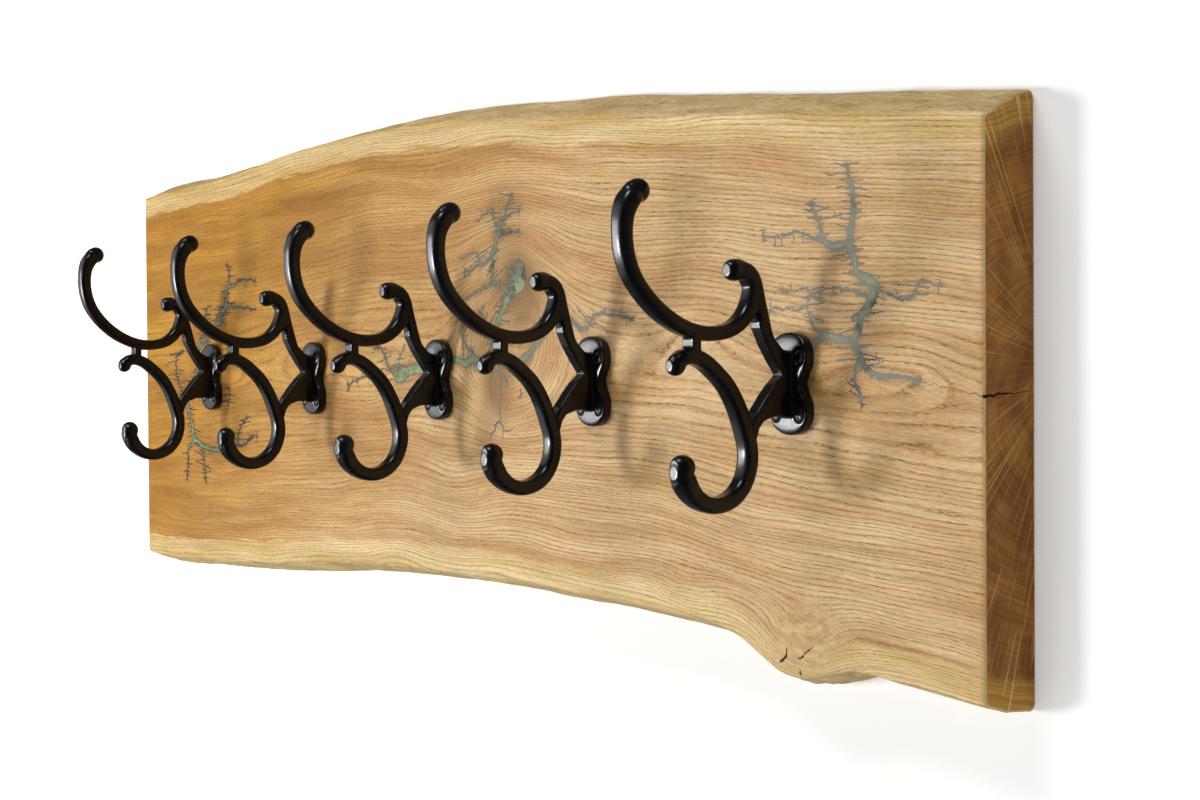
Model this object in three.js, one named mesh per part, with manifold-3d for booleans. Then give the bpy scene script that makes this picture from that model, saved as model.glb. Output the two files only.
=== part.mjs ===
// Wall coat rack: a waney-edged oak slab carrying a row of black cast iron triple
// hooks, each held by four countersunk cross-head screws. Branching burn figures in
// the front face are filled with resin, and two keyhole plates let into the back
// hang the slab on the wall.
// Millimetres. X runs along the slab, Z is up, and the wall is the plane Y = 0, so
// the slab's front face and everything that stands out of it lie at negative Y.

import * as THREE from 'three';
import { mergeVertices } from 'three/addons/utils/BufferGeometryUtils.js';
import Module from 'manifold-3d';

const wasm = await Module();
wasm.setup();

// Clearances
const FIT_GAP = 0.3;
const CUT_OVERRUN = 2;

// Slab. The height is between the mean lines of the front face's two edges.
const BOARD_LENGTH = 1000;
const BOARD_HEIGHT = 288;
const BOARD_THICKNESS = 32;
const BACK_ARRIS = 4;

// Wander of the front face's edges from their mean lines, by share of the length.
const TOP_EDGE = [
  [-0.5, -6], [-0.404, -2.3], [-0.318, 0.6], [-0.253, 6.5], [-0.202, 9.6],
  [-0.138, 12], [-0.079, 12.5], [0.004, 10.8], [0.078, 5.7], [0.125, 2.2],
  [0.189, -2.8], [0.239, -7.6], [0.285, -11.5], [0.337, -16.5], [0.408, -22.6],
  [0.5, -31.4],
];
const BOTTOM_EDGE = [
  [-0.5, -10.5], [-0.465, -12.3], [-0.392, -9.3], [-0.333, -6.5], [-0.278, -3],
  [-0.209, 1.8], [-0.129, 8.3], [-0.056, 11.2], [0.005, 12.7], [0.074, 13.8],
  [0.143, 12.7], [0.206, 11.7], [0.264, 9.9], [0.3, 7.1], [0.318, 2.6],
  [0.335, -4.9], [0.351, -11.2], [0.367, -12.3], [0.383, -9.4], [0.406, -4.7],
  [0.443, -6.5], [0.5, -10.1],
];
// How far the waney edges spread between the front and the back, by share of the length.
const TOP_SPREAD = [
  [-0.5, 12], [-0.46, 12], [-0.409, 9.6], [-0.332, 11.8], [-0.261, 10], [-0.132, 8.8], [-0.06, 10],
  [0.032, 11.7], [0.091, 12.6], [0.208, 14.1], [0.292, 13.6], [0.412, 13], [0.5, 13.1],
];
const BOTTOM_SPREAD = [
  [-0.5, 7], [-0.384, 7.3], [-0.2, 9], [0, 8], [0.2, 8.6], [0.28, 8.6], [0.32, 9],
  [0.345, 8.4], [0.375, 6.4], [0.41, 5], [0.5, 5.6],
];

// Row of hooks
const HOOK_COUNT = 5;
const HOOK_PITCH = 181;
const HOOK_ROW_SHIFT = 3.2;
const HOOK_ROW_HEIGHT = -9.3;

// Hook plate: two full lobes joined at a narrower waist
const PLATE_HEIGHT = 51.5;
const PLATE_THICKNESS = 6;
const LOBE_HALF_WIDTH = 15;
const LOBE_HALF_HEIGHT = 12.4;
const LOBE_FULLNESS = 2.3;
const LOBE_START = -38;
const LOBE_STEPS = 5;
const WAIST_HALF_WIDTH = 9.7;
const PLATE_CHAMFER = 0.8;

// Hook arms: oval section, out from the wall by the half depth and along X by the half width
const ARM_HALF_WIDTH = 5.2;
const CUP_TIP_DEPTH = 4.2;
const CUP_ROOT_DEPTH = 3.8;
const STEM_DEPTH = 3.9;
const LOOP_TIP_DEPTH = 4.2;
const LOOP_ROOT_DEPTH = 4.1;
const ARM_SIDES = 8;
const CUP_RINGS = 12;
const STEM_RINGS = 5;
const LOOP_RINGS = 15;
const WEB_THICKNESS = 8.8;
const BALL_SIDES = 8;
const BALL_ROWS = 4;

// Hook side view: distance out from the plate's front face, height above its centre
const CUP_PATH = [
  [94, 91], [98, 84.3], [99, 74.3], [98, 64.3], [94.3, 54.3], [82.7, 39.3], [74, 34.5],
  [64, 28.2], [54, 25.3], [46, 25], [34, 27.7], [24.5, 36], [20.5, 46],
];
const CUP_BALL = [89.2, 93];
const CUP_BALL_RADIUS = 6;
const STEM_PATH = [[13, 24], [18, 37], [20, 44.3], [21.3, 50.5], [25.5, 56], [32.6, 56.3]];
const STEM_BALL = [32.6, 56.3];
const STEM_BALL_RADIUS = 5.3;
const LOOP_PATH = [
  [67.8, 9.5], [65, 13.3], [59, 14.1], [54, 12.7], [44, 5.5], [39, 0.8], [34, -6.4],
  [27, -22.7], [24.4, -32.7], [25.4, -42.7], [28.5, -49.7], [35, -56], [45, -59],
  [51, -57.7], [62.2, -50.7], [65, -42.7],
];
const SPUR_BALL = [67.8, 9.5];
const SPUR_BALL_RADIUS = 4.7;
const LOOP_BALL = [64.7, -39.7];
const LOOP_BALL_RADIUS = 6.3;
const POST_OUT = 58;
const POST_DEPTH = 5;
const POST_BOTTOM = 13;
const POST_TOP = 26;
const WEB_OUTLINE = [
  [2.5, 15.8], [5.5, 17.6], [9.9, 22.3], [14.9, 32.3], [18.5, 40], [19.4, 28], [15.4, 19.8],
  [10.3, 11.6], [5.2, 4.4], [10.3, -0.2], [15.2, -5.8], [21.4, -14], [26, -24],
  [21.4, -26.7], [19.9, -21.7], [16.9, -18.2], [11, -16.2],
];
const WEB_ROOT_TOP = 15;
const WEB_ROOT_BOTTOM = -16.2;

// Hook screws
const SCREW_HEAD_RADIUS = 3.5;
const SCREW_SHANK_RADIUS = 2;
const SCREW_LENGTH = 25;
const SCREW_TIP = 4;
const SCREW_EDGE_X = 5.6;
const SCREW_EDGE_Z = 11.4;
const SCREW_DROP = 1;
const SCREW_SIDES = 8;
const RECESS_WIDTH = 1;
const RECESS_SPAN = 3.8;
const RECESS_DEPTH = 1.1;

// Resin in the burn figures and in the drying crack at the right end
const INLAY_DEPTH = 2;
const CRACK_DEPTH = 19;
const CRACK_START_WIDTH = 1.5;
const CRACK_END_WIDTH = 2;
const CRACK_LENGTH = 45;
const CRACK_START_Z = -7.2;
const CRACK_END_Z = -13.8;
const KNOT_CENTRE = [97, 54.3];
const KNOT_RADIUS = 10;
const KNOT_SIDES = 12;

// Keyhole plates in the back
const HANGER_SPACING = 540;
const HANGER_HEIGHT = 60;
const HANGER_LENGTH = 60;
const HANGER_WIDTH = 20;
const HANGER_THICKNESS = 2;
const HANGER_SCREW_INSET = 7;
const KEYHOLE_RADIUS = 5;
const KEYHOLE_DROP = 9;
const SLOT_WIDTH = 5;
const SLOT_RISE = 8;
const POCKET_WIDTH = 13;
const POCKET_LENGTH = 32;
const POCKET_DEPTH = 8;
const HANGER_HEAD_RADIUS = 3.2;
const HANGER_SHANK_RADIUS = 1.75;
const HANGER_SCREW_LENGTH = 16;
const HANGER_TIP = 3;

// Burn figures. Each branch is a list of [x, z, width]; x runs from the slab's left
// end, its middle or its right end.
const UPPER_LEFT_FIGURE = [
  [[143, 33.6, 2.2], [150, 38, 3], [160, 43.4, 4], [165, 47, 4.2], [166, 52.6, 4],
    [164.5, 58, 3.2], [170, 60.7, 3.2], [171.4, 65.7, 2.6], [170.7, 71.4, 2.2], [167, 77, 1.6]],
  [[162, 43.8, 3.2], [170, 44.6, 2.8], [181.4, 44.6, 2.6], [193, 43.6, 2.2], [219, 41.4, 1.4]],
  [[168, 60, 3], [177, 60.7, 2.6], [184.3, 63, 2], [206, 64.3, 1.6], [219, 62.9, 1.2]],
];
const LOWER_LEFT_FIGURE = [
  [[86.4, -32.9, 4], [91.4, -40, 4.6], [95, -47, 4.4], [97.1, -54, 4.2], [99.3, -59.3, 5],
    [107.1, -60.7, 4.2], [114.3, -63.6, 4.4], [121.4, -64.7, 4], [138.6, -66, 3.4],
    [160, -65, 3], [174.3, -62, 2.6], [200, -58.9, 1.8], [205.7, -54.6, 1.6], [218.6, -52.9, 1.2]],
  [[87, -34, 3.6], [88, -22, 3.4], [99, -12, 3.2], [107, -3, 3], [106, 10, 3],
    [114.3, 18.6, 3.2], [128.6, 19.3, 2.6]],
  [[99.3, -59.3, 4], [93, -63.6, 3.4], [88, -65, 3], [86.4, -75.7, 2.2], [83.6, -92, 1.4]],
  [[114.3, -63, 3.4], [118, -72.9, 2.4], [120, -87, 1.8], [121.4, -92, 1.2]],
];
const CENTRE_FIGURE = [
  [[-58, -9, 6], [-52.9, -7.1, 9], [-44.3, -4.6, 8.5], [-30, -2.4, 6.5], [-22.9, -3.4, 6],
    [-8, -1, 5], [8, 2.5, 5], [21.4, 3.4, 5], [34.3, 1, 5.5], [41.4, 3.2, 6], [55.7, 3.4, 5.4],
    [63, 6, 5], [69, 12, 4.6], [71.4, 23.6, 5], [77, 30.7, 5], [87, 42, 6.5], [97, 50, 6]],
  [[87, 43, 3.4], [81.4, 48.2, 3], [74.3, 50, 2.4], [58.6, 47, 2.4], [34.3, 40.7, 2],
    [25.7, 40.7, 1.4]],
  [[69.3, 49.5, 2.8], [67.9, 57.9, 2.8], [67, 65, 2.6], [68.6, 69.3, 2.6], [73.6, 79.3, 2.8],
    [77, 84.3, 3], [82.9, 87.9, 2.2], [84.3, 93.6, 2], [91.4, 103.6, 1.2]],
  [[67.6, 65.9, 2.2], [60, 63.6, 2], [52.9, 62.9, 2], [49.3, 67.9, 1.8], [42.9, 70, 1.6],
    [28.6, 67.9, 1.2]],
  [[-54, -4.6, 3], [-61.4, -1.4, 2.6], [-68.6, -1.4, 2.4], [-75, 6.4, 2], [-80, 11.4, 1.8],
    [-90, 11.4, 1.4]],
  [[60, 4.6, 4], [73, 1, 3.4], [86, -1, 3.4], [100, 2.1, 4], [118.6, 12.1, 3.6], [140, 27, 2.6],
    [152.9, 27.9, 2.6], [168.6, 20.7, 2.4], [175, 21.4, 2.2], [179.3, 26.4, 2],
    [204.3, 27.9, 1.8], [220, 25.7, 1.4]],
  [[72, 0, 3], [76.4, -7.9, 2.4], [75, -27.9, 1.8], [79.3, -38.6, 1.4], [78.6, -46.4, 1.2]],
];
const RIGHT_FIGURE = [
  [[-94.4, 97.5, 1.4], [-92.5, 90, 2.6], [-90, 80, 3], [-91.2, 66, 3.6], [-93.1, 60, 5],
    [-89, 50, 3.6], [-87.5, 43.8, 3.6], [-80, 41, 4.4], [-74.5, 37, 7], [-77.5, 30, 5.6],
    [-84, 23.8, 4.8], [-87, 16, 4.6], [-89.4, 11, 4.8], [-87, 7, 4], [-82.5, 0, 3.2],
    [-74, -4.4, 3], [-57.5, -5.6, 2.6], [-CRACK_LENGTH - FIT_GAP - 1, CRACK_START_Z, 2.2]],
  [[-89, 11.8, 4], [-104, 13, 4], [-112.5, 15, 3.6], [-118.1, 12, 3.4], [-121, 8, 3]],
  [[-85.5, 4, 2.4], [-89.4, -7.5, 2], [-85, -13.8, 1.8], [-84, -18.8, 1.2]],
  [[-93, 59.6, 4], [-109, 58.8, 4], [-114, 62, 3], [-120, 62, 2.2], [-127.5, 65.6, 2],
    [-149, 65, 1.6], [-160, 65.6, 1.2]],
  [[-114, 61.4, 3.2], [-115, 70, 2.4], [-119.4, 75, 2], [-121.2, 80, 1.4]],
  [[-75, 37, 4], [-69, 35, 2.6], [-46.2, 33, 1.8], [-44, 38, 1.6], [-29.4, 36.3, 1.2]],
];

// Materials
const oak = new THREE.MeshStandardMaterial({ color: 0xc09a63, roughness: 0.42, metalness: 0 });
const resin = new THREE.MeshStandardMaterial({ color: 0x66755a, roughness: 0.25, metalness: 0 });
const crackResin = new THREE.MeshStandardMaterial({ color: 0x1c1814, roughness: 0.3, metalness: 0 });
const castIron = new THREE.MeshStandardMaterial({ color: 0x0b0a09, roughness: 0.3, metalness: 0.1 });
const blackScrew = new THREE.MeshStandardMaterial({ color: 0x121110, roughness: 0.35, metalness: 0.6 });
const zincPlate = new THREE.MeshStandardMaterial({ color: 0xb4b6b8, roughness: 0.35, metalness: 1 });
const zincScrew = new THREE.MeshStandardMaterial({ color: 0xa9abad, roughness: 0.4, metalness: 1 });

// Solids from geometries and back
function solidOf(geometry) {
  const bare = geometry.clone();
  bare.deleteAttribute('normal');
  bare.deleteAttribute('uv');
  const merged = mergeVertices(bare, 1e-4);
  const corners = merged.index.array;
  const triangles = [];
  for (let i = 0; i < corners.length; i += 3) {
    const [a, b, c] = [corners[i], corners[i + 1], corners[i + 2]];
    if (a !== b && b !== c && c !== a) triangles.push(a, b, c);
  }
  return new wasm.Manifold(new wasm.Mesh({
    numProp: 3,
    vertProperties: Float32Array.from(merged.attributes.position.array),
    triVerts: Uint32Array.from(triangles),
  }));
}

function geometryOf(solid) {
  const mesh = solid.getMesh();
  const geometry = new THREE.BufferGeometry();
  geometry.setAttribute('position', new THREE.BufferAttribute(mesh.vertProperties, 3));
  geometry.setIndex(new THREE.BufferAttribute(mesh.triVerts, 1));
  geometry.computeVertexNormals();
  return geometry;
}

function joined(solids) {
  return solids.reduce((whole, solid) => whole.add(solid));
}

function cutBy(solid, cutters) {
  return cutters.reduce((rest, cutter) => rest.subtract(cutter), solid);
}

// A closed body through rings of equally many points, each ring an array of [x, y, z]
// that runs anticlockwise seen from the last ring's side. Both ends are closed flat.
function loft(rings) {
  const count = rings[0].length;
  const index = [];
  for (let ring = 0; ring + 1 < rings.length; ring += 1) {
    for (let i = 0; i < count; i += 1) {
      const next = (i + 1) % count;
      const [a, b] = [ring * count + i, ring * count + next];
      const [c, d] = [a + count, b + count];
      index.push(a, b, d, a, d, c);
    }
  }
  const last = (rings.length - 1) * count;
  for (const [a, b, c] of capTriangles(rings[0])) index.push(a, c, b);
  for (const [a, b, c] of capTriangles(rings.at(-1))) index.push(last + a, last + b, last + c);
  const geometry = new THREE.BufferGeometry();
  const positions = rings.flat(2);
  geometry.setAttribute('position', new THREE.Float32BufferAttribute(positions, 3));
  geometry.setIndex(index);
  return geometry;
}

// Triangles over a flat ring, which turn the same way as the ring does.
function capTriangles(ring) {
  const points = ring.map((point) => new THREE.Vector3(...point));
  const normal = new THREE.Vector3();
  points.forEach((point, i) => {
    normal.add(new THREE.Vector3().crossVectors(point, points[(i + 1) % points.length]));
  });
  const [u, v] = flatAxes(normal.normalize());
  const contour = points.map((point) => new THREE.Vector2(point.dot(u), point.dot(v)));
  return THREE.ShapeUtils.triangulateShape(contour, []);
}

function flatAxes(normal) {
  const side = Math.abs(normal.z) < 0.9 ? new THREE.Vector3(0, 0, 1) : new THREE.Vector3(1, 0, 0);
  const u = new THREE.Vector3().crossVectors(side, normal).normalize();
  return [u, new THREE.Vector3().crossVectors(normal, u)];
}

// A body between two depths over an outline of [x, z], which runs anticlockwise seen
// from the front.
function slab(outline, backY, frontY) {
  return loft([
    outline.map(([x, z]) => [x, backY, z]),
    outline.map(([x, z]) => [x, frontY, z]),
  ]);
}

// Value of a list of [share, value] at a share, on straight lines between its points.
function valueAt(list, share) {
  const next = Math.max(1, list.findIndex(([at]) => at >= share));
  const [fromShare, fromValue] = list[next - 1];
  const [toShare, toValue] = list[next];
  const part = (share - fromShare) / (toShare - fromShare);
  return THREE.MathUtils.lerp(fromValue, toValue, part);
}

// One cross section of the slab, from its front bottom corner round by the back.
function boardSection(share) {
  const x = share * BOARD_LENGTH;
  const frontY = -BOARD_THICKNESS;
  const top = BOARD_HEIGHT / 2 + valueAt(TOP_EDGE, share);
  const bottom = -BOARD_HEIGHT / 2 + valueAt(BOTTOM_EDGE, share);
  const topSpread = valueAt(TOP_SPREAD, share);
  const bottomSpread = valueAt(BOTTOM_SPREAD, share);
  return [
    [x, frontY, bottom],
    [x, frontY * 0.6, bottom - bottomSpread * 0.75],
    [x, -BACK_ARRIS, bottom - bottomSpread],
    [x, 0, bottom - bottomSpread + BACK_ARRIS],
    [x, 0, top + topSpread - BACK_ARRIS],
    [x, -BACK_ARRIS, top + topSpread],
    [x, frontY * 0.5, top + topSpread * 0.65],
    [x, frontY, top],
  ];
}

function boardBlank() {
  const shares = [...TOP_EDGE, ...BOTTOM_EDGE].map(([share]) => share);
  const stations = [...new Set(shares)].sort((a, b) => a - b);
  return solidOf(loft(stations.map(boardSection)));
}

// Screws stand along Y with the head's flat in the plane Y = 0 and the tip at +Y. A
// bore is the same profile grown by the fit and open above the head.
function screwProfile({ head, shank, length, tip }, grow) {
  const mouth = [[0, -CUT_OVERRUN], [head + grow, -CUT_OVERRUN]];
  return [
    ...(grow > 0 ? mouth : [[0, 0]]),
    [head + grow, 0],
    [shank + grow, head - shank],
    [shank + grow, length - tip + grow],
    [0, length + grow],
  ];
}

function latheSolid(profile) {
  const points = profile.map(([radius, y]) => new THREE.Vector2(radius, y));
  return solidOf(new THREE.LatheGeometry(points, SCREW_SIDES));
}

function screwSolid(screw) {
  const recess = new THREE.BoxGeometry(RECESS_SPAN, 2 * RECESS_DEPTH, RECESS_WIDTH);
  const crossRecess = recess.clone().rotateY(Math.PI / 2);
  return cutBy(latheSolid(screwProfile(screw, 0)), [solidOf(recess), solidOf(crossRecess)]);
}

function screwBore(screw) {
  return latheSolid(screwProfile(screw, FIT_GAP));
}

const HOOK_SCREW = {
  head: SCREW_HEAD_RADIUS,
  shank: SCREW_SHANK_RADIUS,
  length: SCREW_LENGTH,
  tip: SCREW_TIP,
};
const HANGER_SCREW = {
  head: HANGER_HEAD_RADIUS,
  shank: HANGER_SHANK_RADIUS,
  length: HANGER_SCREW_LENGTH,
  tip: HANGER_TIP,
};

// Places of one hook's screws, on the plate's front face
function hookScrewPlaces() {
  const across = LOBE_HALF_WIDTH - SCREW_EDGE_X;
  const up = PLATE_HEIGHT / 2 - SCREW_EDGE_Z;
  return [
    ['top_left', -across, up - SCREW_DROP],
    ['top_right', across, up - SCREW_DROP],
    ['bottom_left', -across, -up - SCREW_DROP],
    ['bottom_right', across, -up - SCREW_DROP],
  ];
}

// Outline of the hook plate, drawn in from its edge by the inset. Each lobe is a
// superellipse, followed from above the waist to the plate's end.
function plateOutline(inset) {
  const lobeHeight = PLATE_HEIGHT / 2 - LOBE_HALF_HEIGHT;
  const power = 2 / LOBE_FULLNESS;
  const quarter = [[WAIST_HALF_WIDTH - inset, 0]];
  for (let step = 0; step <= LOBE_STEPS; step += 1) {
    const angle = THREE.MathUtils.degToRad(THREE.MathUtils.lerp(LOBE_START, 90, step / LOBE_STEPS));
    const across = Math.abs(Math.cos(angle)) ** power;
    const rise = Math.sign(angle) * Math.abs(Math.sin(angle)) ** power;
    quarter.push([
      (LOBE_HALF_WIDTH - inset) * across,
      lobeHeight + (LOBE_HALF_HEIGHT - inset) * rise,
    ]);
  }
  const farQuarter = quarter.slice(1, -1).reverse().map(([x, z]) => [-x, z]);
  const upper = [...quarter, ...farQuarter];
  return [...upper, ...upper.map(([x, z]) => [-x, -z])];
}

function hookPlate() {
  const full = plateOutline(0);
  const drawnIn = plateOutline(PLATE_CHAMFER);
  return solidOf(loft([
    full.map(([x, z]) => [x, 0, z]),
    full.map(([x, z]) => [x, PLATE_CHAMFER - PLATE_THICKNESS, z]),
    drawnIn.map(([x, z]) => [x, -PLATE_THICKNESS, z]),
  ]));
}

// A tube of oval section along a side-view path
function ovalSweep(path, rings, startDepth, endDepth) {
  const curve = new THREE.SplineCurve(path.map(([out, up]) => new THREE.Vector2(out, up)));
  const sections = [];
  for (let ring = 0; ring <= rings; ring += 1) {
    const share = ring / rings;
    const centre = curve.getPointAt(share);
    const tangent = curve.getTangentAt(share);
    const depth = THREE.MathUtils.lerp(startDepth, endDepth, share);
    const section = [];
    for (let side = 0; side < ARM_SIDES; side += 1) {
      const angle = ((side + 0.5) / ARM_SIDES) * 2 * Math.PI;
      const rise = depth * Math.cos(angle);
      section.push([
        -ARM_HALF_WIDTH * Math.sin(angle),
        -PLATE_THICKNESS - centre.x + tangent.y * rise,
        centre.y + tangent.x * rise,
      ]);
    }
    sections.push(section);
  }
  return solidOf(loft(sections));
}

function ball([out, up], radius) {
  const sphere = new THREE.SphereGeometry(radius, BALL_SIDES, BALL_ROWS);
  sphere.translate(0, -PLATE_THICKNESS - out, up);
  return solidOf(sphere);
}

// A flat-sided piece of the casting over a side-view outline that runs anticlockwise
// seen from the right
function sidePiece(outline, thickness) {
  const place = (x) => outline.map(([out, up]) => [x, -PLATE_THICKNESS - out, up]);
  return solidOf(loft([place(-thickness / 2), place(thickness / 2)]));
}

function hookSolid() {
  const root = -PLATE_THICKNESS / 2;
  const web = [[root, WEB_ROOT_TOP], ...WEB_OUTLINE, [root, WEB_ROOT_BOTTOM]];
  const post = [
    [POST_OUT - POST_DEPTH / 2, POST_BOTTOM],
    [POST_OUT - POST_DEPTH / 2, POST_TOP],
    [POST_OUT + POST_DEPTH / 2, POST_TOP],
    [POST_OUT + POST_DEPTH / 2, POST_BOTTOM],
  ];
  const casting = joined([
    hookPlate(),
    ovalSweep(CUP_PATH, CUP_RINGS, CUP_TIP_DEPTH, CUP_ROOT_DEPTH),
    ovalSweep(STEM_PATH, STEM_RINGS, STEM_DEPTH, STEM_DEPTH),
    ovalSweep(LOOP_PATH, LOOP_RINGS, LOOP_ROOT_DEPTH, LOOP_TIP_DEPTH),
    ball(CUP_BALL, CUP_BALL_RADIUS),
    ball(STEM_BALL, STEM_BALL_RADIUS),
    ball(SPUR_BALL, SPUR_BALL_RADIUS),
    ball(LOOP_BALL, LOOP_BALL_RADIUS),
    sidePiece(web, WEB_THICKNESS),
    sidePiece(post, 2 * ARM_HALF_WIDTH - 1),
  ]);
  const bores = hookScrewPlaces().map(([, x, z]) => (
    screwBore(HOOK_SCREW).translate([x, -PLATE_THICKNESS, z])
  ));
  return cutBy(casting, bores);
}

// Outline of one branch of a figure, widened on each side by the grow
function branchOutline(branch, startX, grow) {
  const points = branch.map(([x, z]) => new THREE.Vector2(startX + x, z));
  const left = [];
  const right = [];
  points.forEach((point, i) => {
    const before = points[Math.max(0, i - 1)];
    const after = points[Math.min(points.length - 1, i + 1)];
    const along = after.clone().sub(before).normalize();
    const isEnd = i === points.length - 1;
    const isStart = i === 0;
    const slide = (isEnd ? grow : 0) - (isStart ? grow : 0);
    const centre = point.clone().addScaledVector(along, slide);
    const reach = branch[i][2] / 2 + grow;
    left.push([centre.x - along.y * reach, centre.y + along.x * reach]);
    right.push([centre.x + along.y * reach, centre.y - along.x * reach]);
  });
  return [...right, ...left.reverse()];
}

function knotOutline(grow) {
  const outline = [];
  for (let side = 0; side < KNOT_SIDES; side += 1) {
    const angle = (side / KNOT_SIDES) * 2 * Math.PI;
    const reach = KNOT_RADIUS + grow;
    outline.push([
      KNOT_CENTRE[0] + reach * Math.cos(angle),
      KNOT_CENTRE[1] + reach * Math.sin(angle),
    ]);
  }
  return outline;
}

// A figure's resin, or with a grow above zero the channel that it lies in
function figureSolid({ branches, startX, hasKnot }, grow) {
  const frontY = -BOARD_THICKNESS - (grow > 0 ? CUT_OVERRUN : 0);
  const floorY = INLAY_DEPTH - BOARD_THICKNESS;
  const outlines = branches.map((branch) => branchOutline(branch, startX, grow));
  if (hasKnot) outlines.push(knotOutline(grow));
  return joined(outlines.map((outline) => solidOf(slab(outline, floorY, frontY))));
}

const FIGURES = [
  { name: 'resin_inlay_upper_left', branches: UPPER_LEFT_FIGURE, startX: -BOARD_LENGTH / 2 },
  { name: 'resin_inlay_lower_left', branches: LOWER_LEFT_FIGURE, startX: -BOARD_LENGTH / 2 },
  { name: 'resin_inlay_centre', branches: CENTRE_FIGURE, startX: 0, hasKnot: true },
  { name: 'resin_inlay_right', branches: RIGHT_FIGURE, startX: BOARD_LENGTH / 2 },
];

// The filled crack deepens and widens towards the slab's right end
function crackSolid(grow) {
  const frontY = -BOARD_THICKNESS - (grow > 0 ? CUT_OVERRUN : 0);
  const section = (share) => {
    const x = BOARD_LENGTH / 2 + (share - 1) * CRACK_LENGTH;
    const z = THREE.MathUtils.lerp(CRACK_START_Z, CRACK_END_Z, share);
    const reach = THREE.MathUtils.lerp(CRACK_START_WIDTH, CRACK_END_WIDTH, share) / 2 + grow;
    const floorY = THREE.MathUtils.lerp(INLAY_DEPTH, CRACK_DEPTH, share) - BOARD_THICKNESS + grow;
    return [[x, frontY, z - reach], [x, floorY, z - reach], [x, floorY, z + reach], [x, frontY, z + reach]];
  };
  const startShare = -grow / CRACK_LENGTH;
  const endShare = 1 + (grow > 0 ? CUT_OVERRUN / CRACK_LENGTH : 0);
  return solidOf(loft([section(startShare), section(endShare)]));
}

// Outline of a keyhole plate with half round ends, widened by the grow
function stadiumOutline(length, width, grow) {
  const radius = width / 2 + grow;
  const endZ = (length - width) / 2;
  const outline = [];
  for (const turn of [0, Math.PI]) {
    for (let step = 0; step <= 6; step += 1) {
      const angle = turn + (step / 6) * Math.PI;
      const rise = turn === 0 ? endZ : -endZ;
      outline.push([radius * Math.cos(angle), rise + radius * Math.sin(angle)]);
    }
  }
  return outline;
}

// The keyhole: a round entry below and a narrow slot above it
function keyholeOutline() {
  const half = SLOT_WIDTH / 2;
  const meet = Math.asin(half / KEYHOLE_RADIUS);
  const outline = [];
  for (let step = 0; step <= 10; step += 1) {
    const angle = Math.PI / 2 + meet + (step / 10) * (2 * Math.PI - 2 * meet);
    outline.push([KEYHOLE_RADIUS * Math.cos(angle), KEYHOLE_RADIUS * Math.sin(angle) - KEYHOLE_DROP]);
  }
  for (let step = 0; step <= 4; step += 1) {
    const angle = (step / 4) * Math.PI;
    outline.push([half * Math.cos(angle), SLOT_RISE + half * Math.sin(angle)]);
  }
  return outline;
}

// Hanger screws enter from the back, so their heads point to +Y
function hangerScrewPlaces() {
  const up = HANGER_LENGTH / 2 - HANGER_SCREW_INSET;
  return [['top', up], ['bottom', -up]];
}

function turnedRound(solid) {
  return solid.rotate([0, 0, 180]);
}

function hangerPlateSolid() {
  const plate = solidOf(slab(stadiumOutline(HANGER_LENGTH, HANGER_WIDTH, 0), 0, -HANGER_THICKNESS));
  const keyhole = solidOf(slab(keyholeOutline(), CUT_OVERRUN, -HANGER_THICKNESS - CUT_OVERRUN));
  const bores = hangerScrewPlaces().map(([, z]) => (
    turnedRound(screwBore(HANGER_SCREW)).translate([0, 0, z])
  ));
  return cutBy(plate, [keyhole, ...bores]);
}

// Recess, pocket and pilot holes for one keyhole plate
function hangerCutters(x) {
  const recess = stadiumOutline(HANGER_LENGTH, HANGER_WIDTH, FIT_GAP);
  const pocket = stadiumOutline(POCKET_LENGTH, POCKET_WIDTH, 0);
  const cutters = [
    solidOf(slab(recess, CUT_OVERRUN, -HANGER_THICKNESS)),
    solidOf(slab(pocket, CUT_OVERRUN, -HANGER_THICKNESS - POCKET_DEPTH)),
    ...hangerScrewPlaces().map(([, z]) => (
      turnedRound(screwBore(HANGER_SCREW)).translate([0, 0, z])
    )),
  ];
  return cutters.map((cutter) => cutter.translate([x, 0, HANGER_HEIGHT]));
}

// Assembly
const hookXs = [];
for (let hook = 0; hook < HOOK_COUNT; hook += 1) {
  hookXs.push(HOOK_ROW_SHIFT + (hook - (HOOK_COUNT - 1) / 2) * HOOK_PITCH);
}
const hangerSides = [['left', -HANGER_SPACING / 2], ['right', HANGER_SPACING / 2]];

const blank = boardBlank();
const hookBores = hookXs.flatMap((hookX) => hookScrewPlaces().map(([, x, z]) => (
  screwBore(HOOK_SCREW).translate([
    hookX + x, -BOARD_THICKNESS - PLATE_THICKNESS, HOOK_ROW_HEIGHT + z,
  ])
)));
const channels = FIGURES.map((figure) => figureSolid(figure, FIT_GAP));
const hangerCuts = hangerSides.flatMap(([, x]) => hangerCutters(x));

const rack = new THREE.Group();

function addPiece(parent, name, solid, material) {
  const mesh = new THREE.Mesh(geometryOf(solid), material.clone());
  mesh.name = name;
  parent.add(mesh);
  return mesh;
}

const cuts = [...hookBores, ...channels, crackSolid(FIT_GAP), ...hangerCuts];
addPiece(rack, 'board', cutBy(blank, cuts), oak);
for (const figure of FIGURES) {
  const trimmed = figureSolid(figure, 0).intersect(blank);
  addPiece(rack, figure.name, cutBy(trimmed, hookBores), resin);
}
addPiece(rack, 'crack_fill', crackSolid(0), crackResin);

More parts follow.
